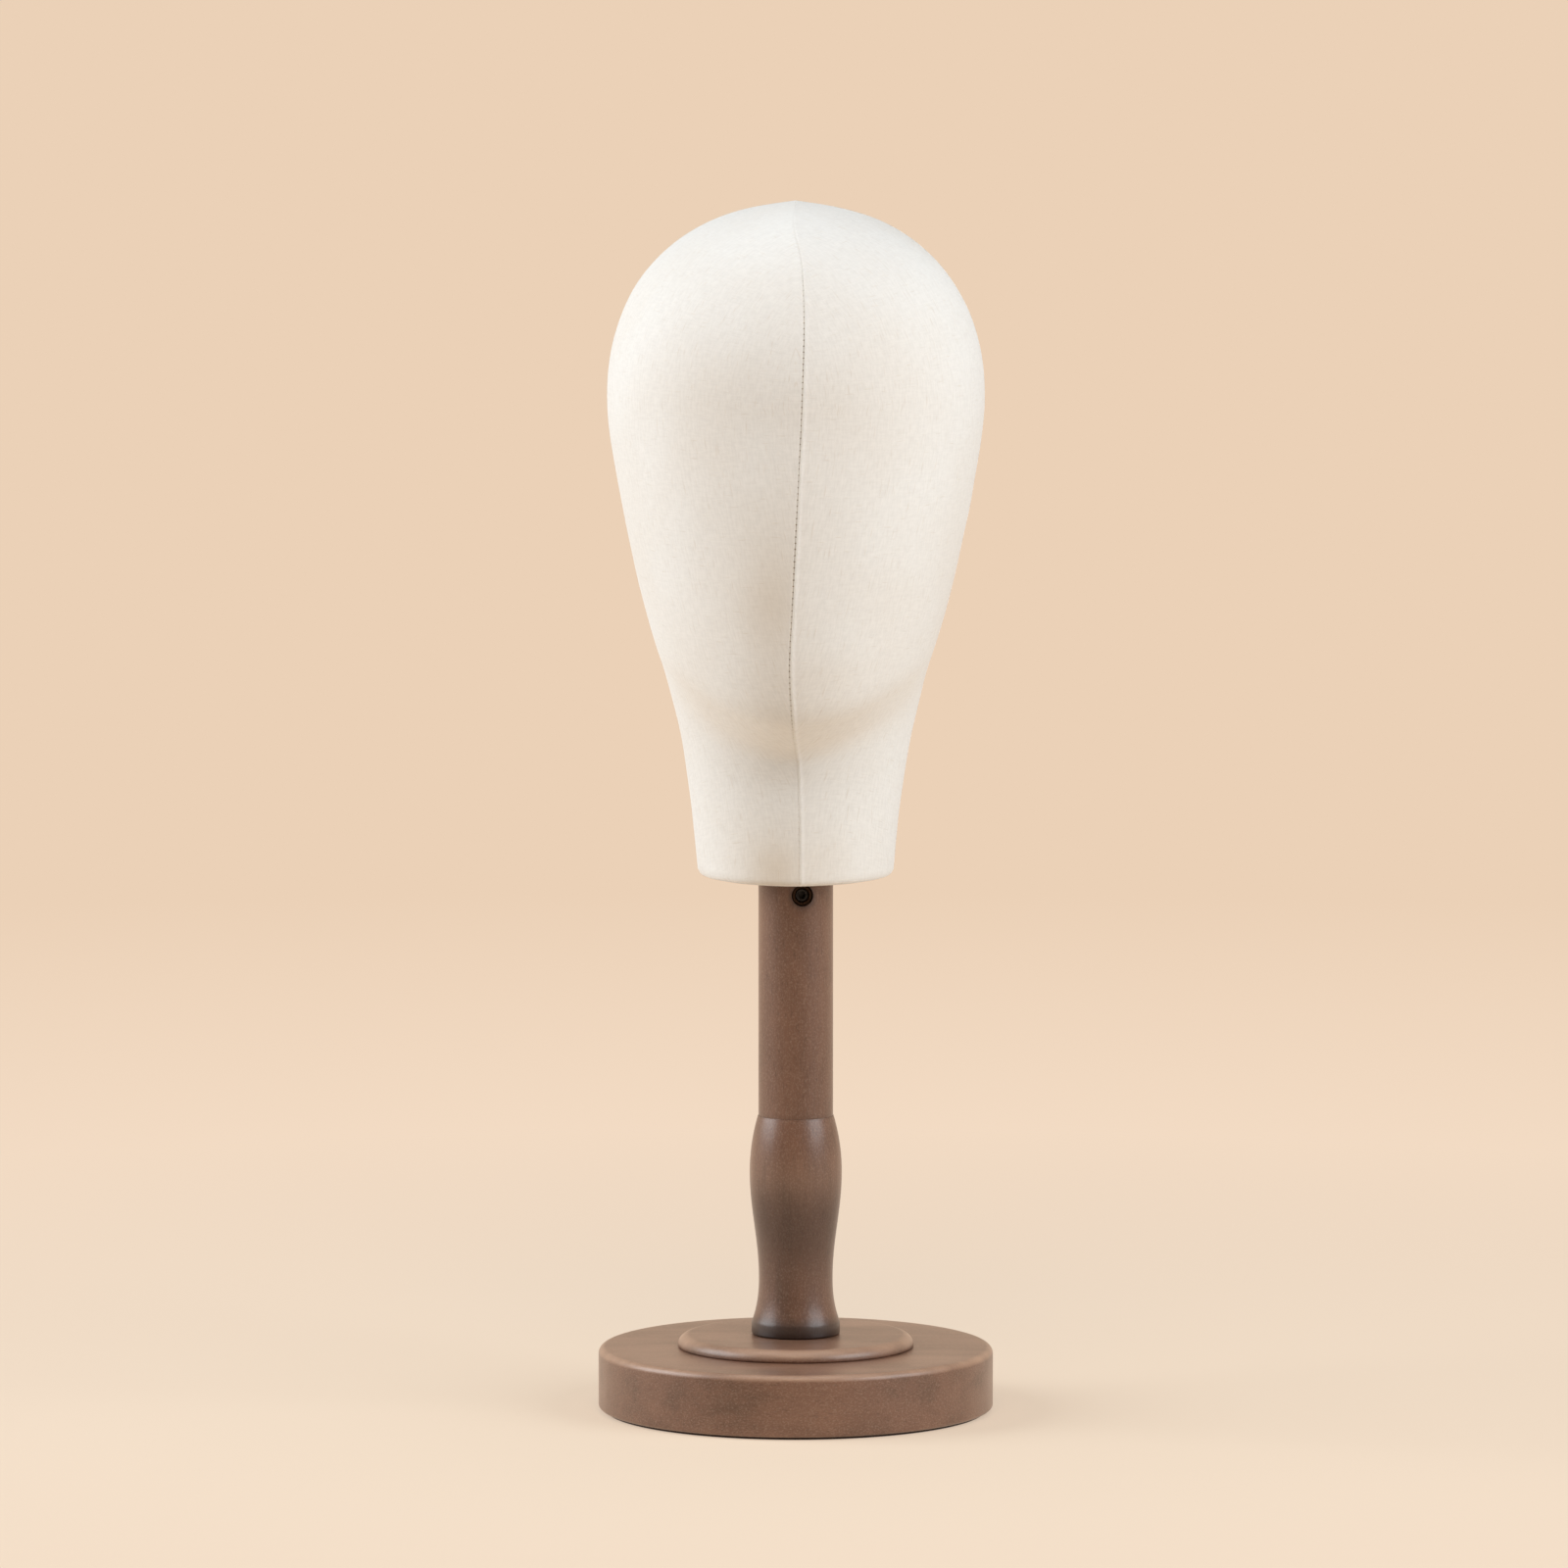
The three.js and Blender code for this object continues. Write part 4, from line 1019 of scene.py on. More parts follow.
class MANNEQUIN_OT_stage(bpy.types.Operator):
    """Makes the floor, the world, the lamps and the camera"""

    bl_idname = "mannequin.stage"
    bl_label = "Stage"

    def execute(self, context):
        scene, settings = context.scene, context.scene.mannequin_stage
        scene.view_settings.view_transform = "Standard"
        self.floor(settings)
        self.world(scene, settings)
        for name, degrees, distance, height, size, colour in LAMPS:
            power = getattr(settings, f"{name}_power")
            self.lamp(f"{name}_softbox", degrees, distance, height, size, power, colour)
        self.camera(scene)
        return {"FINISHED"}

    def floor(self, settings):
        """A pale disc that turns to the backdrop's colour away from the object, and is clear from below."""
        made, tree, place = start_material("matt seamless paper")
        inputs = {"Base Color": rgba(settings.floor), "Roughness": 0.95, "Specular IOR Level": 0.1}
        paper = add(tree, "ShaderNodeBsdfPrincipled", inputs)
        away = add(tree, "ShaderNodeVectorMath", {0: place}, operation="LENGTH").outputs["Value"]
        far = add(tree, "ShaderNodeMapRange", (away, 0.3, 2.0))
        tones = ((0.0, HORIZON), (1.0, settings.backdrop))
        glowing = ramp(add(tree, "ShaderNodeValToRGB", {"Fac": far}), *tones)
        # The floor in front is dim to all but the camera, as the dark end of a studio is
        depth = add(tree, "ShaderNodeSeparateXYZ", {"Vector": place}).outputs["Y"]
        behind = add(tree, "ShaderNodeMapRange", (depth, -1.0, -0.1, 0.5, 1.0))
        seen = add(tree, "ShaderNodeLightPath").outputs["Is Camera Ray"]
        strength = add(tree, "ShaderNodeMath", (seen, behind), operation="MAXIMUM")
        glow = add(tree, "ShaderNodeEmission", {"Color": glowing, "Strength": strength})
        share = add(tree, "ShaderNodeMapRange", (away, -0.8, 0.9))
        mixed = add(tree, "ShaderNodeMixShader", (share, paper, glow))
        below = add(tree, "ShaderNodeNewGeometry").outputs["Backfacing"]
        clear = add(tree, "ShaderNodeBsdfTransparent")
        shown = add(tree, "ShaderNodeMixShader", (below, mixed, clear))
        add(tree, "ShaderNodeOutputMaterial", {"Surface": shown})
        mesh = bpy.data.meshes.new("seamless_floor")
        angles = np.arange(FLOOR_SIDES) * 2 * math.pi / FLOOR_SIDES
        rim = [(FLOOR_RADIUS * math.cos(a), FLOOR_RADIUS * math.sin(a), 0) for a in angles]
        mesh.from_pydata(rim, [], [tuple(range(FLOOR_SIDES))])
        mesh.materials.append(made)
        put("seamless_floor", mesh)

    def world(self, scene, settings):
        """The backdrop's colour wherever the camera sees past the floor. The wood mirrors it only from
        behind, since the studio is dark on the camera's side."""
        scene.world = bpy.data.worlds.new("studio")
        scene.world.use_nodes = True
        tree = scene.world.node_tree
        tree.nodes.clear()
        path = add(tree, "ShaderNodeLightPath").outputs
        inputs = (path["Is Camera Ray"], path["Is Glossy Ray"])
        seen = add(tree, "ShaderNodeMath", inputs, operation="MAXIMUM")
        inputs = {"Color": rgba(AMBIENT_CREAM), "Strength": settings.ambient}
        ambient = add(tree, "ShaderNodeBackground", inputs)
        direction = add(tree, "ShaderNodeTexCoord").outputs["Generated"]
        depth = add(tree, "ShaderNodeSeparateXYZ", {"Vector": direction}).outputs["Y"]
        behind = add(tree, "ShaderNodeMapRange", (depth, -0.3, 0.4, 0.12, 1.0))
        strength = add(tree, "ShaderNodeMath", (path["Is Camera Ray"], behind), operation="MAXIMUM")
        inputs = {"Color": rgba(settings.backdrop), "Strength": strength}
        backdrop = add(tree, "ShaderNodeBackground", inputs)
        mixed = add(tree, "ShaderNodeMixShader", (seen, ambient, backdrop))
        add(tree, "ShaderNodeOutputWorld", {"Surface": mixed})

    def lamp(self, name, degrees, distance, height, size, power, colour):
        data = bpy.data.lights.new(name, "AREA")
        data.shape = "RECTANGLE"
        data.size, data.size_y = size
        data.energy = power
        data.color = linear(colour)
        made = put(name, data)
        turn = math.radians(degrees)
        made.location = (distance * math.sin(turn), -distance * math.cos(turn), height)
        aim = Vector(LAMP_AIM) - made.location
        made.rotation_euler = aim.to_track_quat("-Z", "Y").to_euler()

    def camera(self, scene):
        data = bpy.data.cameras.new("front_camera")
        data.lens, data.sensor_width = CAMERA_LENS, CAMERA_SENSOR
        made = put("front_camera", data)
        made.location = CAMERA_PLACE
        made.rotation_euler = (math.radians(90 - CAMERA_DOWN), 0, 0)
        scene.camera = made


class MANNEQUIN_OT_stand(bpy.types.Operator):
    """Turns the felt pad, the round base, the step and the post"""

    bl_idname = "mannequin.stand"
    bl_label = "Turned stand"

    def execute(self, context):
        settings = context.scene.mannequin_wood
        self.felt()
        across = stained_beech("stained beech, grain across", 0, settings)
        self.base(across)
        self.step(across)
        self.post(stained_beech("stained beech, grain upright", 2, settings))
        return {"FINISHED"}

    def felt(self):
        low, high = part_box("felt_pad")
        centre = high.x - FELT_ROUND
        outline = [(0, low.z)]
        outline += arc((centre, low.z + FELT_ROUND), FELT_ROUND, -90, 0, 4)
        outline += arc((centre, high.z - FELT_ROUND), FELT_ROUND, 0, 90, 4)
        outline += [(0, high.z)]
        ride_for(turned("felt_disc", outline, pressed_felt()), "felt_pad")

    def base(self, wood):
        low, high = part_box("base_disc")
        shoulder, round_top = high.z - BASE_TOP_ROUND, high.x - BASE_TOP_ROUND
        foot = (high.x - BASE_BOTTOM_ROUND, low.z + BASE_BOTTOM_ROUND)
        outline = [(RECESS_RADIUS, low.z + RECESS_DEPTH), (RECESS_RADIUS, low.z)]
        outline += arc(foot, BASE_BOTTOM_ROUND, -90, 0)
        outline += arc((round_top, shoulder), BASE_TOP_ROUND, 0, 90)
        outline += [(r, high.z) for r in BASE_RINGS]
        outline += [(BOLT_HOLE, high.z), (BOLT_HOLE, low.z + RECESS_DEPTH)]
        made = turned("round_base", outline, wood, closed=True)
        self.rubbed_and_highlit_edge(made, round_top, shoulder, high)
        ride_for(made, "base_disc")

    def step(self, wood):
        low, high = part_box("step_disc")
        shoulder, round_top = low.z + STEP_BOTTOM_ROUND, high.x - STEP_BEND
        outline = [(BOLT_HOLE, low.z)]
        outline += arc((high.x - STEP_BOTTOM_ROUND, shoulder), STEP_BOTTOM_ROUND, -90, 0, 5)
        # The top bends down gently to the edge, in a quarter of an ellipse
        outline += [
            (round_top + STEP_BEND * math.cos(turn), shoulder + (high.z - shoulder) * math.sin(turn))
            for turn in np.linspace(0, math.pi / 2, 15)[1:]
        ]
        outline += [(r, high.z) for r in STEP_RINGS]
        outline += [(BOLT_HOLE, high.z)]
        made = turned("stepped_disc", outline, wood, closed=True)
        self.rubbed_and_highlit_edge(made, round_top, shoulder, high)
        ride_for(made, "step_disc")

    def rubbed_and_highlit_edge(self, made, radius, height, high):
        """Marks the rounded edge that is paler, most halfway round the bend: partly rubbed, partly a
        painted highlight.
        """
        points = np.array([v.co for v in made.data.vertices])
        along = (np.hypot(points[:, 0], points[:, 1]) - radius) / (high.x - radius)
        up = (points[:, 2] - height) / (high.z - height)
        bend = np.arctan2(np.clip(up, 0, None), np.clip(along, 0, None))
        store(made, "worn", EDGE_WEAR_AND_HIGHLIGHT * np.sin(2 * bend) * (along > 0) * (up > 0))

    def post(self, wood):
        low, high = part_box("post")
        foot, top = low.z, high.z
        outline = [(0, foot + FOOT_INSERT_DEPTH)]
        outline += [(FOOT_INSERT_HOLE, foot + FOOT_INSERT_DEPTH), (FOOT_INSERT_HOLE, foot)]
        outline += arc((FOOT_RADIUS - FOOT_ROUND, foot + FOOT_ROUND), FOOT_ROUND, -90, 0, 5)
        outline.append((FOOT_RADIUS, foot + FOOT_BAND))
        # The flared foot, the vase and its neck, each with its steps and how it bends from radius to radius
        heights = (FOOT_BAND, WAIST_HEIGHT, VASE_HEIGHT, SHOULDER_HEIGHT)
        radii = (FOOT_RADIUS, WAIST_RADIUS, VASE_RADIUS, SHOULDER_RADIUS)
        bends = (
            (24, lambda s: 1 - (1 - s) ** FLARE_POWER),
            (40, lambda s: (1 - math.cos(math.pi * s)) / 2),
            (24, lambda s: s**2),
        )
        for i, (steps, bend) in enumerate(bends):
            for s in np.linspace(0, 1, steps + 1)[1:]:
                radius = between(radii[i], radii[i + 1], bend(s))
                outline.append((radius, foot + between(heights[i], heights[i + 1], s)))
        shaft = np.linspace(foot + SHOULDER_HEIGHT, top - POST_TOP_ROUND, SHAFT_RINGS)
        outline += [(POST_RADIUS, z) for z in shaft]
        outline += arc((POST_RADIUS - POST_TOP_ROUND, shaft[-1]), POST_TOP_ROUND, 0, 90, 4)[1:]
        bore, ledge = ROD_RADIUS + ROD_CLEARANCE, top - SLEEVE_LENGTH - LAYER_GAP
        outline += [(SLEEVE_OUTER + LAYER_GAP, top), (SLEEVE_OUTER + LAYER_GAP, ledge)]
        outline += [(bore, ledge), (bore, top - BORE_DEPTH), (0, top - BORE_DEPTH)]
        made = turned("turned_post", outline, wood, smooth_angle=POST_BEND)
        cut_lock_hole(made, LOCK_HOLE, POST_RADIUS + DRILL_PAST)
        made.data.set_sharp_from_angle(angle=math.radians(POST_BEND))
        self.stain(made, foot, top)
        ride_for(made, "post")

    def stain(self, made, foot, top):
        """Marks where the post is darker: all over, painted shade at the foot and in the hollow under the
        vase, painted shadow below the head, and darker at the shoulder and round the lock screw; and where
        the vase is rubbed.
        """
        points = np.array([v.co for v in made.data.vertices])
        heights, radii = points[:, 2] - foot, np.hypot(points[:, 0], points[:, 1])
        outside = radii > SLEEVE_OUTER + MM
        centre, direction, _ = lock_line()
        beside = points - np.array(centre)
        out = beside @ np.array(direction)
        across = np.linalg.norm(beside - np.outer(out, direction), axis=1)
        screw = np.clip((LOCK_HOLE + DARKER_ROUND_SCREW_FADE - across) / DARKER_ROUND_SCREW_FADE, 0, 1) * (out > 0)
        hollow = (VASE_HEIGHT + WAIST_HEIGHT) / 2
        shares = (
            np.full_like(heights, DARKER_ALL_OVER),
            PAINTED_SHADE_FOOT * np.clip((PAINTED_SHADE_FOOT_TOP - heights) / PAINTED_SHADE_FOOT_FADE, 0, 1),
            DARKER_AT_SHOULDER * bell(heights, SHOULDER_HEIGHT, DARKER_AT_SHOULDER_FADE),
            DARKER_ROUND_SCREW * screw,
            PAINTED_SHADE_HOLLOW * bell(heights, hollow, PAINTED_SHADE_HOLLOW_FADE),
            PAINTED_SHADOW_NECK * np.exp(-(top - foot - heights) / PAINTED_SHADOW_NECK_FADE),
        )
        # The post's darker places include painted shade at the foot and hollow and painted shadow at the
        # top
        store(made, "dark", outside * np.maximum.reduce(shares))
        store(made, "worn", outside * VASE_WEAR * bell(heights, VASE_HEIGHT, VASE_WEAR_FADE))


class MANNEQUIN_OT_fittings(bpy.types.Operator):
    """Makes the rod, the sleeve, the insert and the lock screw, and finishes the bolt and its parts"""

    bl_idname = "mannequin.fittings"
    bl_label = "Fittings of the post"

    def execute(self, context):
        self.rod()
        self.sleeve()
        self.insert()
        self.screw()
        plate, brass = zinc_plate(), drawn_brass()
        for node, finish in (("base_bolt", plate), ("base_washer", plate), ("foot_insert", brass)):
            finish_node(node, finish)
        return {"FINISHED"}

    def rod(self):
        low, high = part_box("neck_rod")
        bevelled = ROD_RADIUS - ROD_EDGE
        sides = np.linspace(low.z + ROD_EDGE, high.z - ROD_EDGE, ROD_RINGS)
        outline = [(0, low.z), (bevelled, low.z), *((ROD_RADIUS, z) for z in sides)]
        outline += [(bevelled, high.z), (0, high.z)]
        ride_for(turned("ground_rod", outline, ground_steel(), ROD_SIDES), "neck_rod")

    def sleeve(self):
        low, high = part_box("guide_sleeve")
        outline = tube(SLEEVE_INNER, SLEEVE_OUTER, low.z, high.z, SLEEVE_EDGE)
        made = turned("brass_sleeve", outline, drawn_brass(), ROD_SIDES, closed=True)
        cut_lock_hole(made, LOCK_THREAD, SLEEVE_OUTER + DRILL_PAST)
        ride_for(made, "guide_sleeve")

    def insert(self):
        start, end = SLEEVE_OUTER + LAYER_GAP, POST_RADIUS - LOCK_INSERT_SUNK
        outline = tube(LOCK_THREAD, LOCK_INSERT_RADIUS, start, end, LOCK_INSERT_EDGE)
        made = turned("threaded_insert", outline, browned_steel(), INSERT_SIDES, closed=True)
        made.data.transform(lock_line()[2])
        ride_for(made, "lock_insert")

    def screw(self):
        """The set screw: a point, its thread in rings, and a hexagon socket in a bevelled end."""
        black = black_oxide()
        tip = ROD_RADIUS + LOCK_SCREW_GAP
        end = tip + LOCK_SCREW_LENGTH
        point = LOCK_SCREW_RADIUS / 2
        root = LOCK_SCREW_RADIUS - THREAD_DEPTH
        outline = [(0, tip), (point, tip), (LOCK_SCREW_RADIUS, tip + point)]
        for i in range(int((LOCK_SCREW_LENGTH - point) / THREAD_PITCH)):
            start = tip + point + i * THREAD_PITCH
            crest = start + THREAD_PITCH * THREAD_CREST
            outline += [(root, start + THREAD_PITCH / 2), (LOCK_SCREW_RADIUS, crest)]
        rim, seat = (SOCKET_RADIUS * share for share in SOCKET_CHAMFER)
        face = end - SOCKET_CHAMFER_DEPTH
        outline += [(root, end), (rim, end), (seat, face), (0, face)]
        made = turned("set_screw", outline, black, SCREW_SIDES)
        corner, floor = SOCKET_RADIUS / math.cos(math.pi / 6), end - SOCKET_DEPTH
        hexagon = [(0, floor), (corner, floor), (corner, end + MM), (0, end + MM)]
        cut_away(made, turned("hexagon", hexagon, black, 6))
        drop_slivers(made)
        made.data.set_sharp_from_angle(angle=math.radians(30))
        made.data.transform(lock_line()[2])
        ride_for(made, "lock_screw")


class MANNEQUIN_OT_inside(bpy.types.Operator):
    """Makes the wadding and finishes the shell, the board, the flange, the screws and the nails"""

    bl_idname = "mannequin.inside"
    bl_label = "Inside of the head"

    def execute(self, context):
        self.wadding(context.scene.mannequin_linen)
        steel = zinc_plate()
        finish_node("head_shell", papier_mache())
        finish_node("neck_board", sawn_board())
        for node in frame["nodes"]:
            if node.startswith(("rod_flange", "flange_screw", "board_nail")):
                finish_node(node, steel)
        return {"FINISHED"}

    def wadding(self, settings):
        u = row_places(WADDING_ROW)
        share = np.linspace(0, 1, WADDING_COLUMNS)
        front = seam_turn(u)[:, None]
        right, left = (between(front, side * math.pi, share) for side in (1, -1))
        turns = np.hstack([right, left[:, -2:0:-1]])
        surface, normals, keel, _ = cloth_ground(u, turns)
        offset = keel + lumps(surface)
        outer = settings.cloth_thickness + LAYER_GAP
        inner = outer + WADDING_THICKNESS
        # The outer skin follows the hem's round edge, and the inner one is within it
        edge = HEM_ROUND - outer
        angles = np.radians((30, 60, 90))
        round_edge = [(HEM_ROUND - edge * math.cos(a), EDGE_LEVEL - edge * math.sin(a)) for a in angles]
        skins = []
        for down, rims in ((outer, round_edge), (inner, [(inner, HEM_BOTTOM + outer)])):
            rings = surface + normals * (offset - down)[..., None]
            rims = [rim_point(turns[-1], inset, level) for inset, level in rims]
            skins.append((crown_point() - (0, 0, down), np.vstack([rings, rims])))
        points, faces = wall(*skins, closed=True)
        points[:, 2] += head_origin()
        made = mesh_piece("wadding_layer", points, faces, cotton_wadding())
        ride_for(made, "padding")


class MANNEQUIN_OT_linen(bpy.types.Operator):
    """Makes the two linen panels and the linen patch under the neck"""

    bl_idname = "mannequin.linen"
    bl_label = "Linen cover"

    def execute(self, context):
        settings = context.scene.mannequin_linen
        cloth = slubby_linen(settings)
        for name, side in (("right", 1), ("left", -1)):
            self.panel(name, side, cloth, settings)
        self.patch(cloth)
        return {"FINISHED"}

    def panel(self, name, side, cloth, settings):
        u = row_places(PANEL_ROW)
        turns = panel_turns(u, side)
        surface, normals, keel, away = cloth_ground(u, turns)
        uneven = relief(u[:, None], away, side) + lumps(surface)
        skins = []
        for down in (0.0, settings.cloth_thickness):
            rings = surface + normals * (keel + uneven - down)[..., None]
            rims = []
            for angle in np.linspace(0, math.pi / 2, HEM_STEPS + 1)[1:]:
                inset = HEM_ROUND - (HEM_ROUND - down + uneven[-1]) * math.cos(angle)
                level = EDGE_LEVEL - (HEM_ROUND - down) * math.sin(angle)
                rims.append(rim_point(turns[-1], inset[:, None], level))
            for inset in np.linspace(HEM_ROUND, HEM_WIDTH, HEM_ROWS + 1)[1:]:
                rims.append(rim_point(turns[-1], inset, HEM_BOTTOM + down))
            skins.append((crown_point() - (0, 0, down), np.vstack([rings, rims])))
        points, faces = wall(*skins, closed=False)
        points[:, 0] += side * PANEL_GAP / 2
        points[:, 2] += head_origin()
        made = mesh_piece(f"linen_panel_{name}", points, faces, cloth, CLOTH_BEND)
        # Each skin starts with the crown, and its hem lies on the flat cloth in rows below its last ring
        flat = cut_places(surface, u, side)
        rows = np.arange(1, HEM_STEPS + HEM_ROWS + 1)
        hem = flat[-1] - rows[:, None, None] * (0, HEM_ROW)
        cut = np.vstack([flat[0].mean(axis=0), *flat, *hem])
        seam = np.concatenate([[0], away.ravel(), np.tile(away[-1], len(rows))])
        store(made, "seam", np.tile(seam, 2))
        store(made, "soiled", soiling_and_shade(points, side))
        self.lay_flat(made, np.tile(cut, (2, 1)))
        ride_for(made, f"cover_{name}")

    def lay_flat(self, made, places):
        """Gives the cloth its places in the flat cut as a UV map, in metres."""
        layer = made.data.uv_layers.new(name="cut")
        corners = np.empty(len(made.data.loops), np.int32)
        made.data.loops.foreach_get("vertex_index", corners)
        layer.data.foreach_set("uv", places[corners].astype(np.float32).ravel())

    def patch(self, cloth):
        turns = np.linspace(0, 2 * math.pi, PATCH_COLUMNS + 1)[:-1]
        outline = rim_point(turns, PATCH_INSET, 0.0)
        hole = outline / np.linalg.norm(outline, axis=1, keepdims=True) * PATCH_HOLE
        rows, columns = PATCH_ROWS, PATCH_COLUMNS
        low = np.array([between(hole, outline, share) for share in np.linspace(0, 1, rows)])
        high = low.copy()
        worn = np.zeros((rows, 1))
        worn[0], worn[-1] = PATCH_HOLE_EDGE, PATCH_EDGE
        low[..., 2], high[..., 2] = worn, PATCH_THICKNESS - worn
        points = np.vstack([*low, *high])
        faces = strips(rows, columns, 0, True) + strips(rows, columns, rows * columns, True)
        for first in (0, (rows - 1) * columns):
            second = first + rows * columns
            faces += [
                (first + c, first + (c + 1) % columns, second + (c + 1) % columns, second + c)
                for c in range(columns)
            ]
        points[:, 2] += head_origin()
        made = mesh_piece("neck_patch", points, faces, cloth, CLOTH_BEND)
        store(made, "seam", np.full(len(points), FAR_FROM_SEAM))
        self.lay_flat(made, points[:, :2])
        ride_for(made, "neck_cloth")


class MANNEQUIN_OT_stitches(bpy.types.Operator):
    """Sews the seam over the head and the patch under the neck"""

    bl_idname = "mannequin.stitches"
    bl_label = "Stitches"

    def execute(self, context):
        settings = context.scene.mannequin_linen
        thread, tree = linen_thread(), stitch_tree()
        self.sew("seam_stitches", *self.seam_line(), tree, thread, settings, 0.0)
        self.sew("patch_stitches", *self.patch_line(), tree, thread, settings, PATCH_LEAN)
        return {"FINISHED"}

    def seam_line(self):
        """The seam from the front hem over the crown to the nape, with the directions out of the cloth."""
        u = row_places(PANEL_ROW)[:-1]
        _, rise, groove = seam_at(u)
        # Where there is hardly a groove the stitches are drawn down into the cloth
        drawn_in = STITCH_DRAWN_IN * np.clip(1 - groove / STITCH_DRAWN_IN, 0, 1)
        out = (rise - STITCH_SUNK * groove - drawn_in)[:, None]
        turns = (seam_turn(u), np.full_like(u, math.pi))
        front_out, back_out = (outward(u, turn) for turn in turns)
        front, back = (head_point(u, turn) + outward(u, turn) * out for turn in turns)
        return np.vstack([front[::-1], back]), np.vstack([front_out[::-1], back_out])

    def patch_line(self):
        turns = np.linspace(0, 2 * math.pi, PATCH_SEWN_POINTS)
        points = rim_point(turns, PATCH_INSET + PATCH_SEWN_IN, PATCH_SEWN_UP)
        return points, np.tile((0.0, 0.0, -1.0), (len(points), 1))

    def sew(self, name, points, normals, tree, thread, settings, lean):
        mesh = bpy.data.meshes.new(name)
        points = points + (0, 0, head_origin())
        mesh.from_pydata([tuple(p) for p in points], [(i, i + 1) for i in range(len(points) - 1)], [])
        made = put(name, mesh)
        store(made, "outward", normals, "FLOAT_VECTOR")
        modifier = made.modifiers.new("stitches", "NODES")
        modifier.node_group = tree
        values = {
            "Pitch": settings.stitch_pitch,
            "Length": settings.stitch_length,
            "Thread": settings.thread_width,
            "Lean": math.radians(lean),
            "Seed": STITCH_SEED,
            "Material": thread,
        }
        for socket in tree.interface.items_tree:
            if socket.name in values:
                modifier[socket.identifier] = values[socket.name]
        apply_modifiers(made)
        made.data.shade_smooth()
        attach(made, "head")


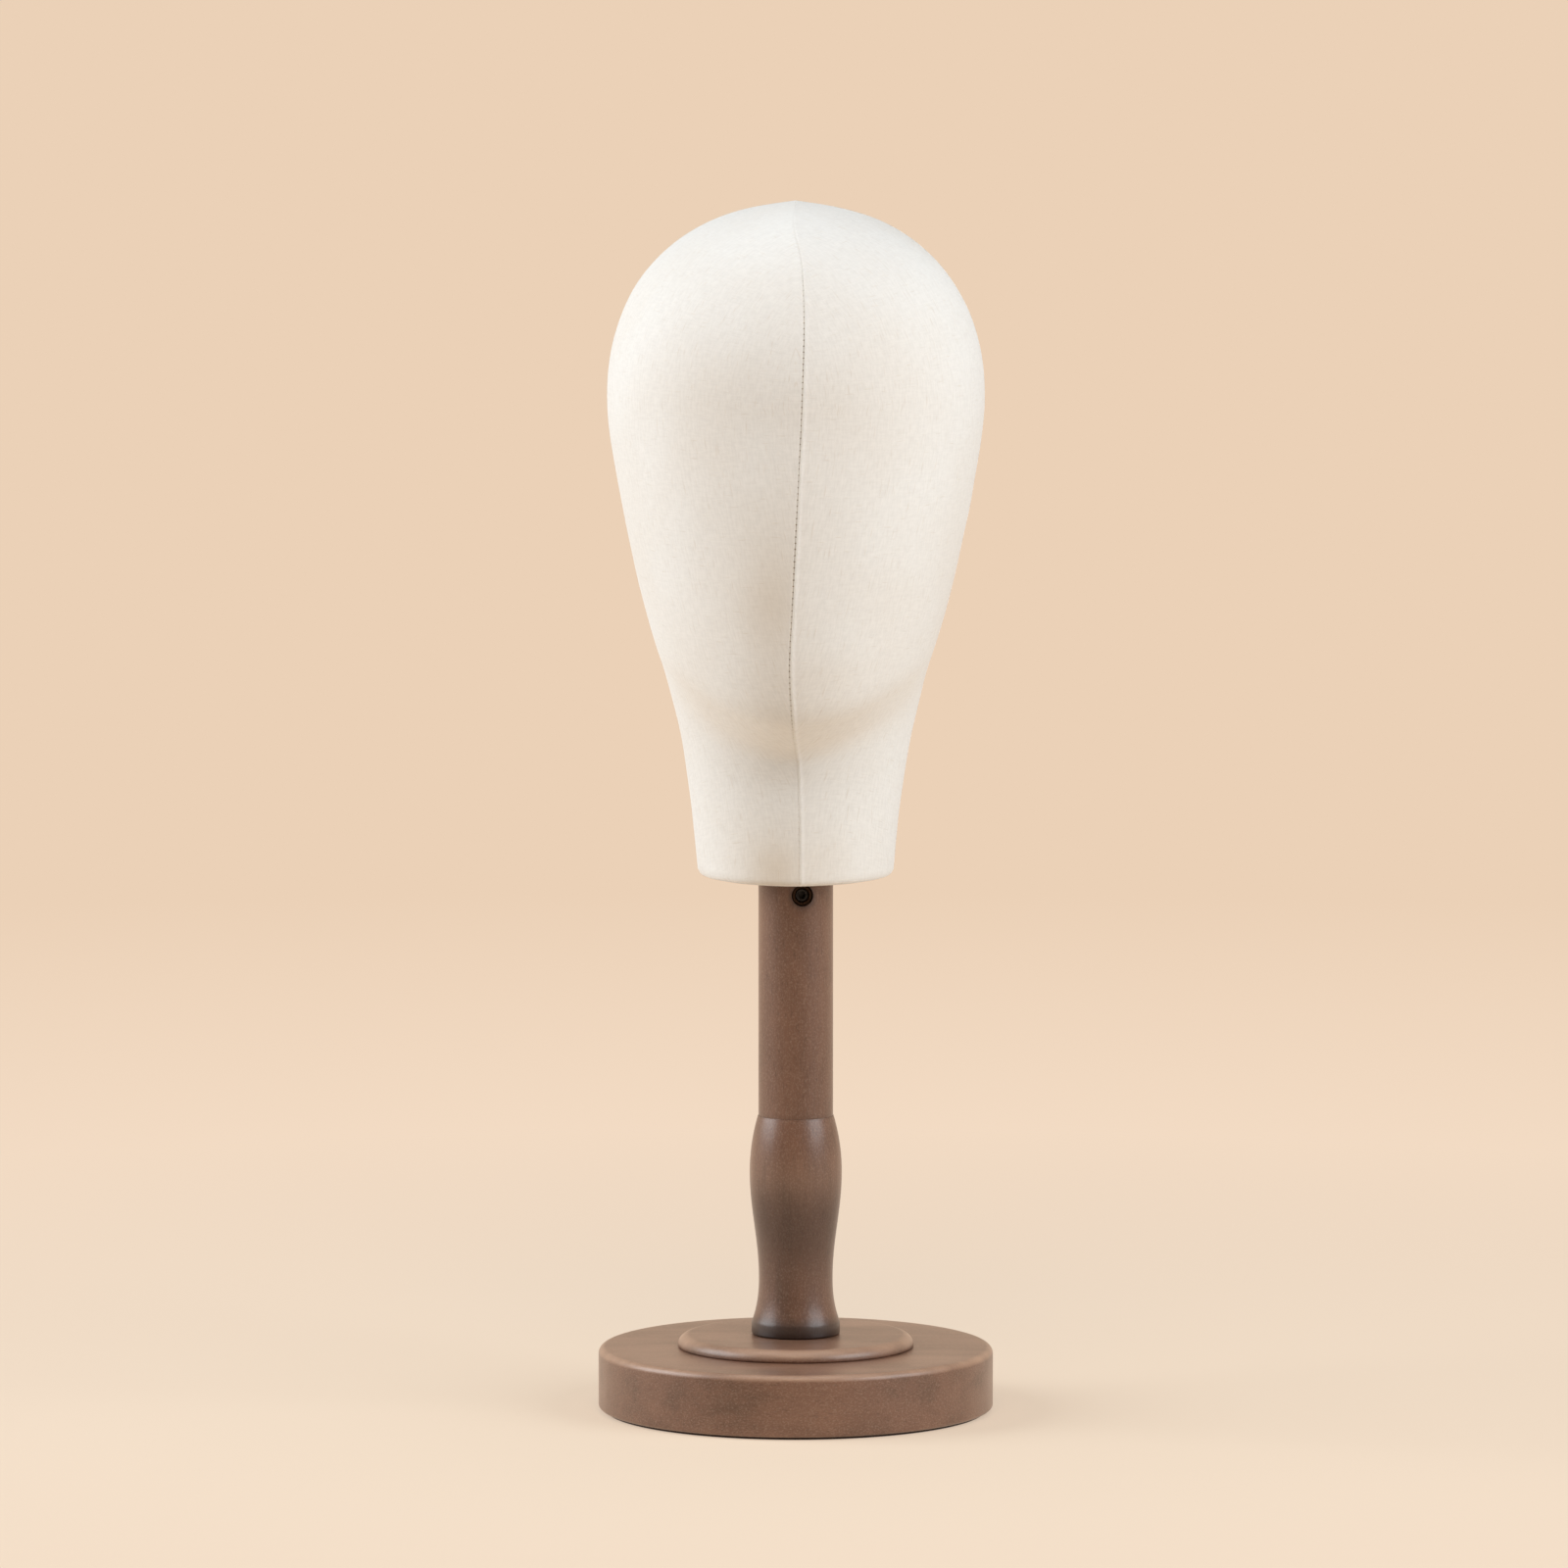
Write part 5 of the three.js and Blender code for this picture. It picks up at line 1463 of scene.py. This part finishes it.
def stitch_tree():
    """A node tree that sews stitches across a line, standing on the directions kept with it."""
    tree = bpy.data.node_groups.new("stitches across a line", "GeometryNodeTree")
    kinds = {
        "Geometry": "Geometry",
        "Pitch": "Float",
        "Length": "Float",
        "Thread": "Float",
        "Lean": "Float",
        "Seed": "Int",
        "Material": "Material",
    }
    for name, kind in kinds.items():
        tree.interface.new_socket(name=name, in_out="INPUT", socket_type=f"NodeSocket{kind}")
    tree.interface.new_socket(name="Geometry", in_out="OUTPUT", socket_type="NodeSocketGeometry")
    given = add(tree, "NodeGroupInput").outputs

    # Where the stitches are, and how they stand
    line = add(tree, "GeometryNodeMeshToCurve", {"Mesh": given["Geometry"]})
    inputs = {"Curve": line, "Length": given["Pitch"]}
    places = add(tree, "GeometryNodeCurveToPoints", inputs, mode="LENGTH")
    stand = add(tree, "GeometryNodeInputNamedAttribute", {"Name": "outward"}, data_type="FLOAT_VECTOR")
    upright = add(tree, "FunctionNodeAlignRotationToVector", {"Vector": stand}, axis="Z")
    inputs = {"Rotation": upright, "Vector": places.outputs["Tangent"]}
    facing = add(tree, "FunctionNodeAlignRotationToVector", inputs, axis="Y", pivot_axis="Z")
    inputs = {2: -STITCH_UNEVEN, 3: STITCH_UNEVEN, "Seed": given["Seed"]}
    uneven = add(tree, "FunctionNodeRandomValue", inputs, data_type="FLOAT").outputs[1]
    lean = add(tree, "ShaderNodeMath", (given["Lean"], uneven), operation="ADD")
    turn = add(tree, "ShaderNodeCombineXYZ", {"Z": lean})
    leaning = add(tree, "FunctionNodeEulerToRotation", {"Euler": turn})
    inputs = {"Rotation": facing, "Rotate By": leaning}
    rotation = add(tree, "FunctionNodeRotateRotation", inputs, rotation_space="LOCAL")

    # One stitch: a bow of thread with its ends sunk in the cloth
    shares = [("Length", -0.5), ("Length", 0.5), ("Thread", 0.5)]
    shares += [("Thread", STITCH_ENDS), ("Thread", STITCH_MIDDLE)]
    left, right, radius, sunk, proud = (
        add(tree, "ShaderNodeMath", (given[name], share), operation="MULTIPLY") for name, share in shares
    )
    inputs = {
        "Resolution": 5,
        "Start": add(tree, "ShaderNodeCombineXYZ", {"X": left, "Z": sunk}),
        "Middle": add(tree, "ShaderNodeCombineXYZ", {"Z": proud}),
        "End": add(tree, "ShaderNodeCombineXYZ", {"X": right, "Z": sunk}),
    }
    bow = add(tree, "GeometryNodeCurveQuadraticBezier", inputs)
    section = add(tree, "GeometryNodeCurvePrimitiveCircle", {"Resolution": 6, "Radius": radius})
    inputs = {"Curve": bow, "Profile Curve": section, "Fill Caps": True}
    stitch = add(tree, "GeometryNodeCurveToMesh", inputs)

    inputs = {"Points": places, "Instance": stitch, "Rotation": rotation}
    sewn = add(tree, "GeometryNodeInstanceOnPoints", inputs)
    real = add(tree, "GeometryNodeRealizeInstances", {"Geometry": sewn})
    inputs = {"Geometry": real, "Material": given["Material"]}
    finished = add(tree, "GeometryNodeSetMaterial", inputs)
    add(tree, "NodeGroupOutput", {"Geometry": finished})
    return tree


class MANNEQUIN_PT_maker(bpy.types.Panel):
    """Lists the pieces of the head and its stand"""

    bl_idname = "MANNEQUIN_PT_maker"
    bl_label = "Mannequin head"
    bl_space_type = "VIEW_3D"
    bl_region_type = "UI"
    bl_category = "Mannequin"

    def draw(self, context):
        layout = self.layout
        for group in SETTINGS:
            settings, column = getattr(context.scene, group), layout.column()
            for name in settings.__annotations__:
                column.prop(settings, name)
        for operator in OPERATORS:
            layout.operator(operator.bl_idname)


SETTINGS = {
    "mannequin_linen": MannequinLinen,
    "mannequin_wood": MannequinWood,
    "mannequin_stage": MannequinStage,
}
OPERATORS = (
    MANNEQUIN_OT_stage,
    MANNEQUIN_OT_stand,
    MANNEQUIN_OT_fittings,
    MANNEQUIN_OT_inside,
    MANNEQUIN_OT_linen,
    MANNEQUIN_OT_stitches,
)
CLASSES = (*SETTINGS.values(), *OPERATORS, MANNEQUIN_PT_maker)


def register():
    for each in CLASSES:
        bpy.utils.register_class(each)
    for name, group in SETTINGS.items():
        setattr(bpy.types.Scene, name, bpy.props.PointerProperty(type=group))


def unregister():
    for name in SETTINGS:
        delattr(bpy.types.Scene, name)
    for each in reversed(CLASSES):
        bpy.utils.unregister_class(each)


def main():
    """Makes the head on its stand."""
    register()
    for operator in OPERATORS:
        name = operator.bl_idname.split(".")[1]
        getattr(bpy.ops.mannequin, name)()


if __name__ == "__main__":
    main()
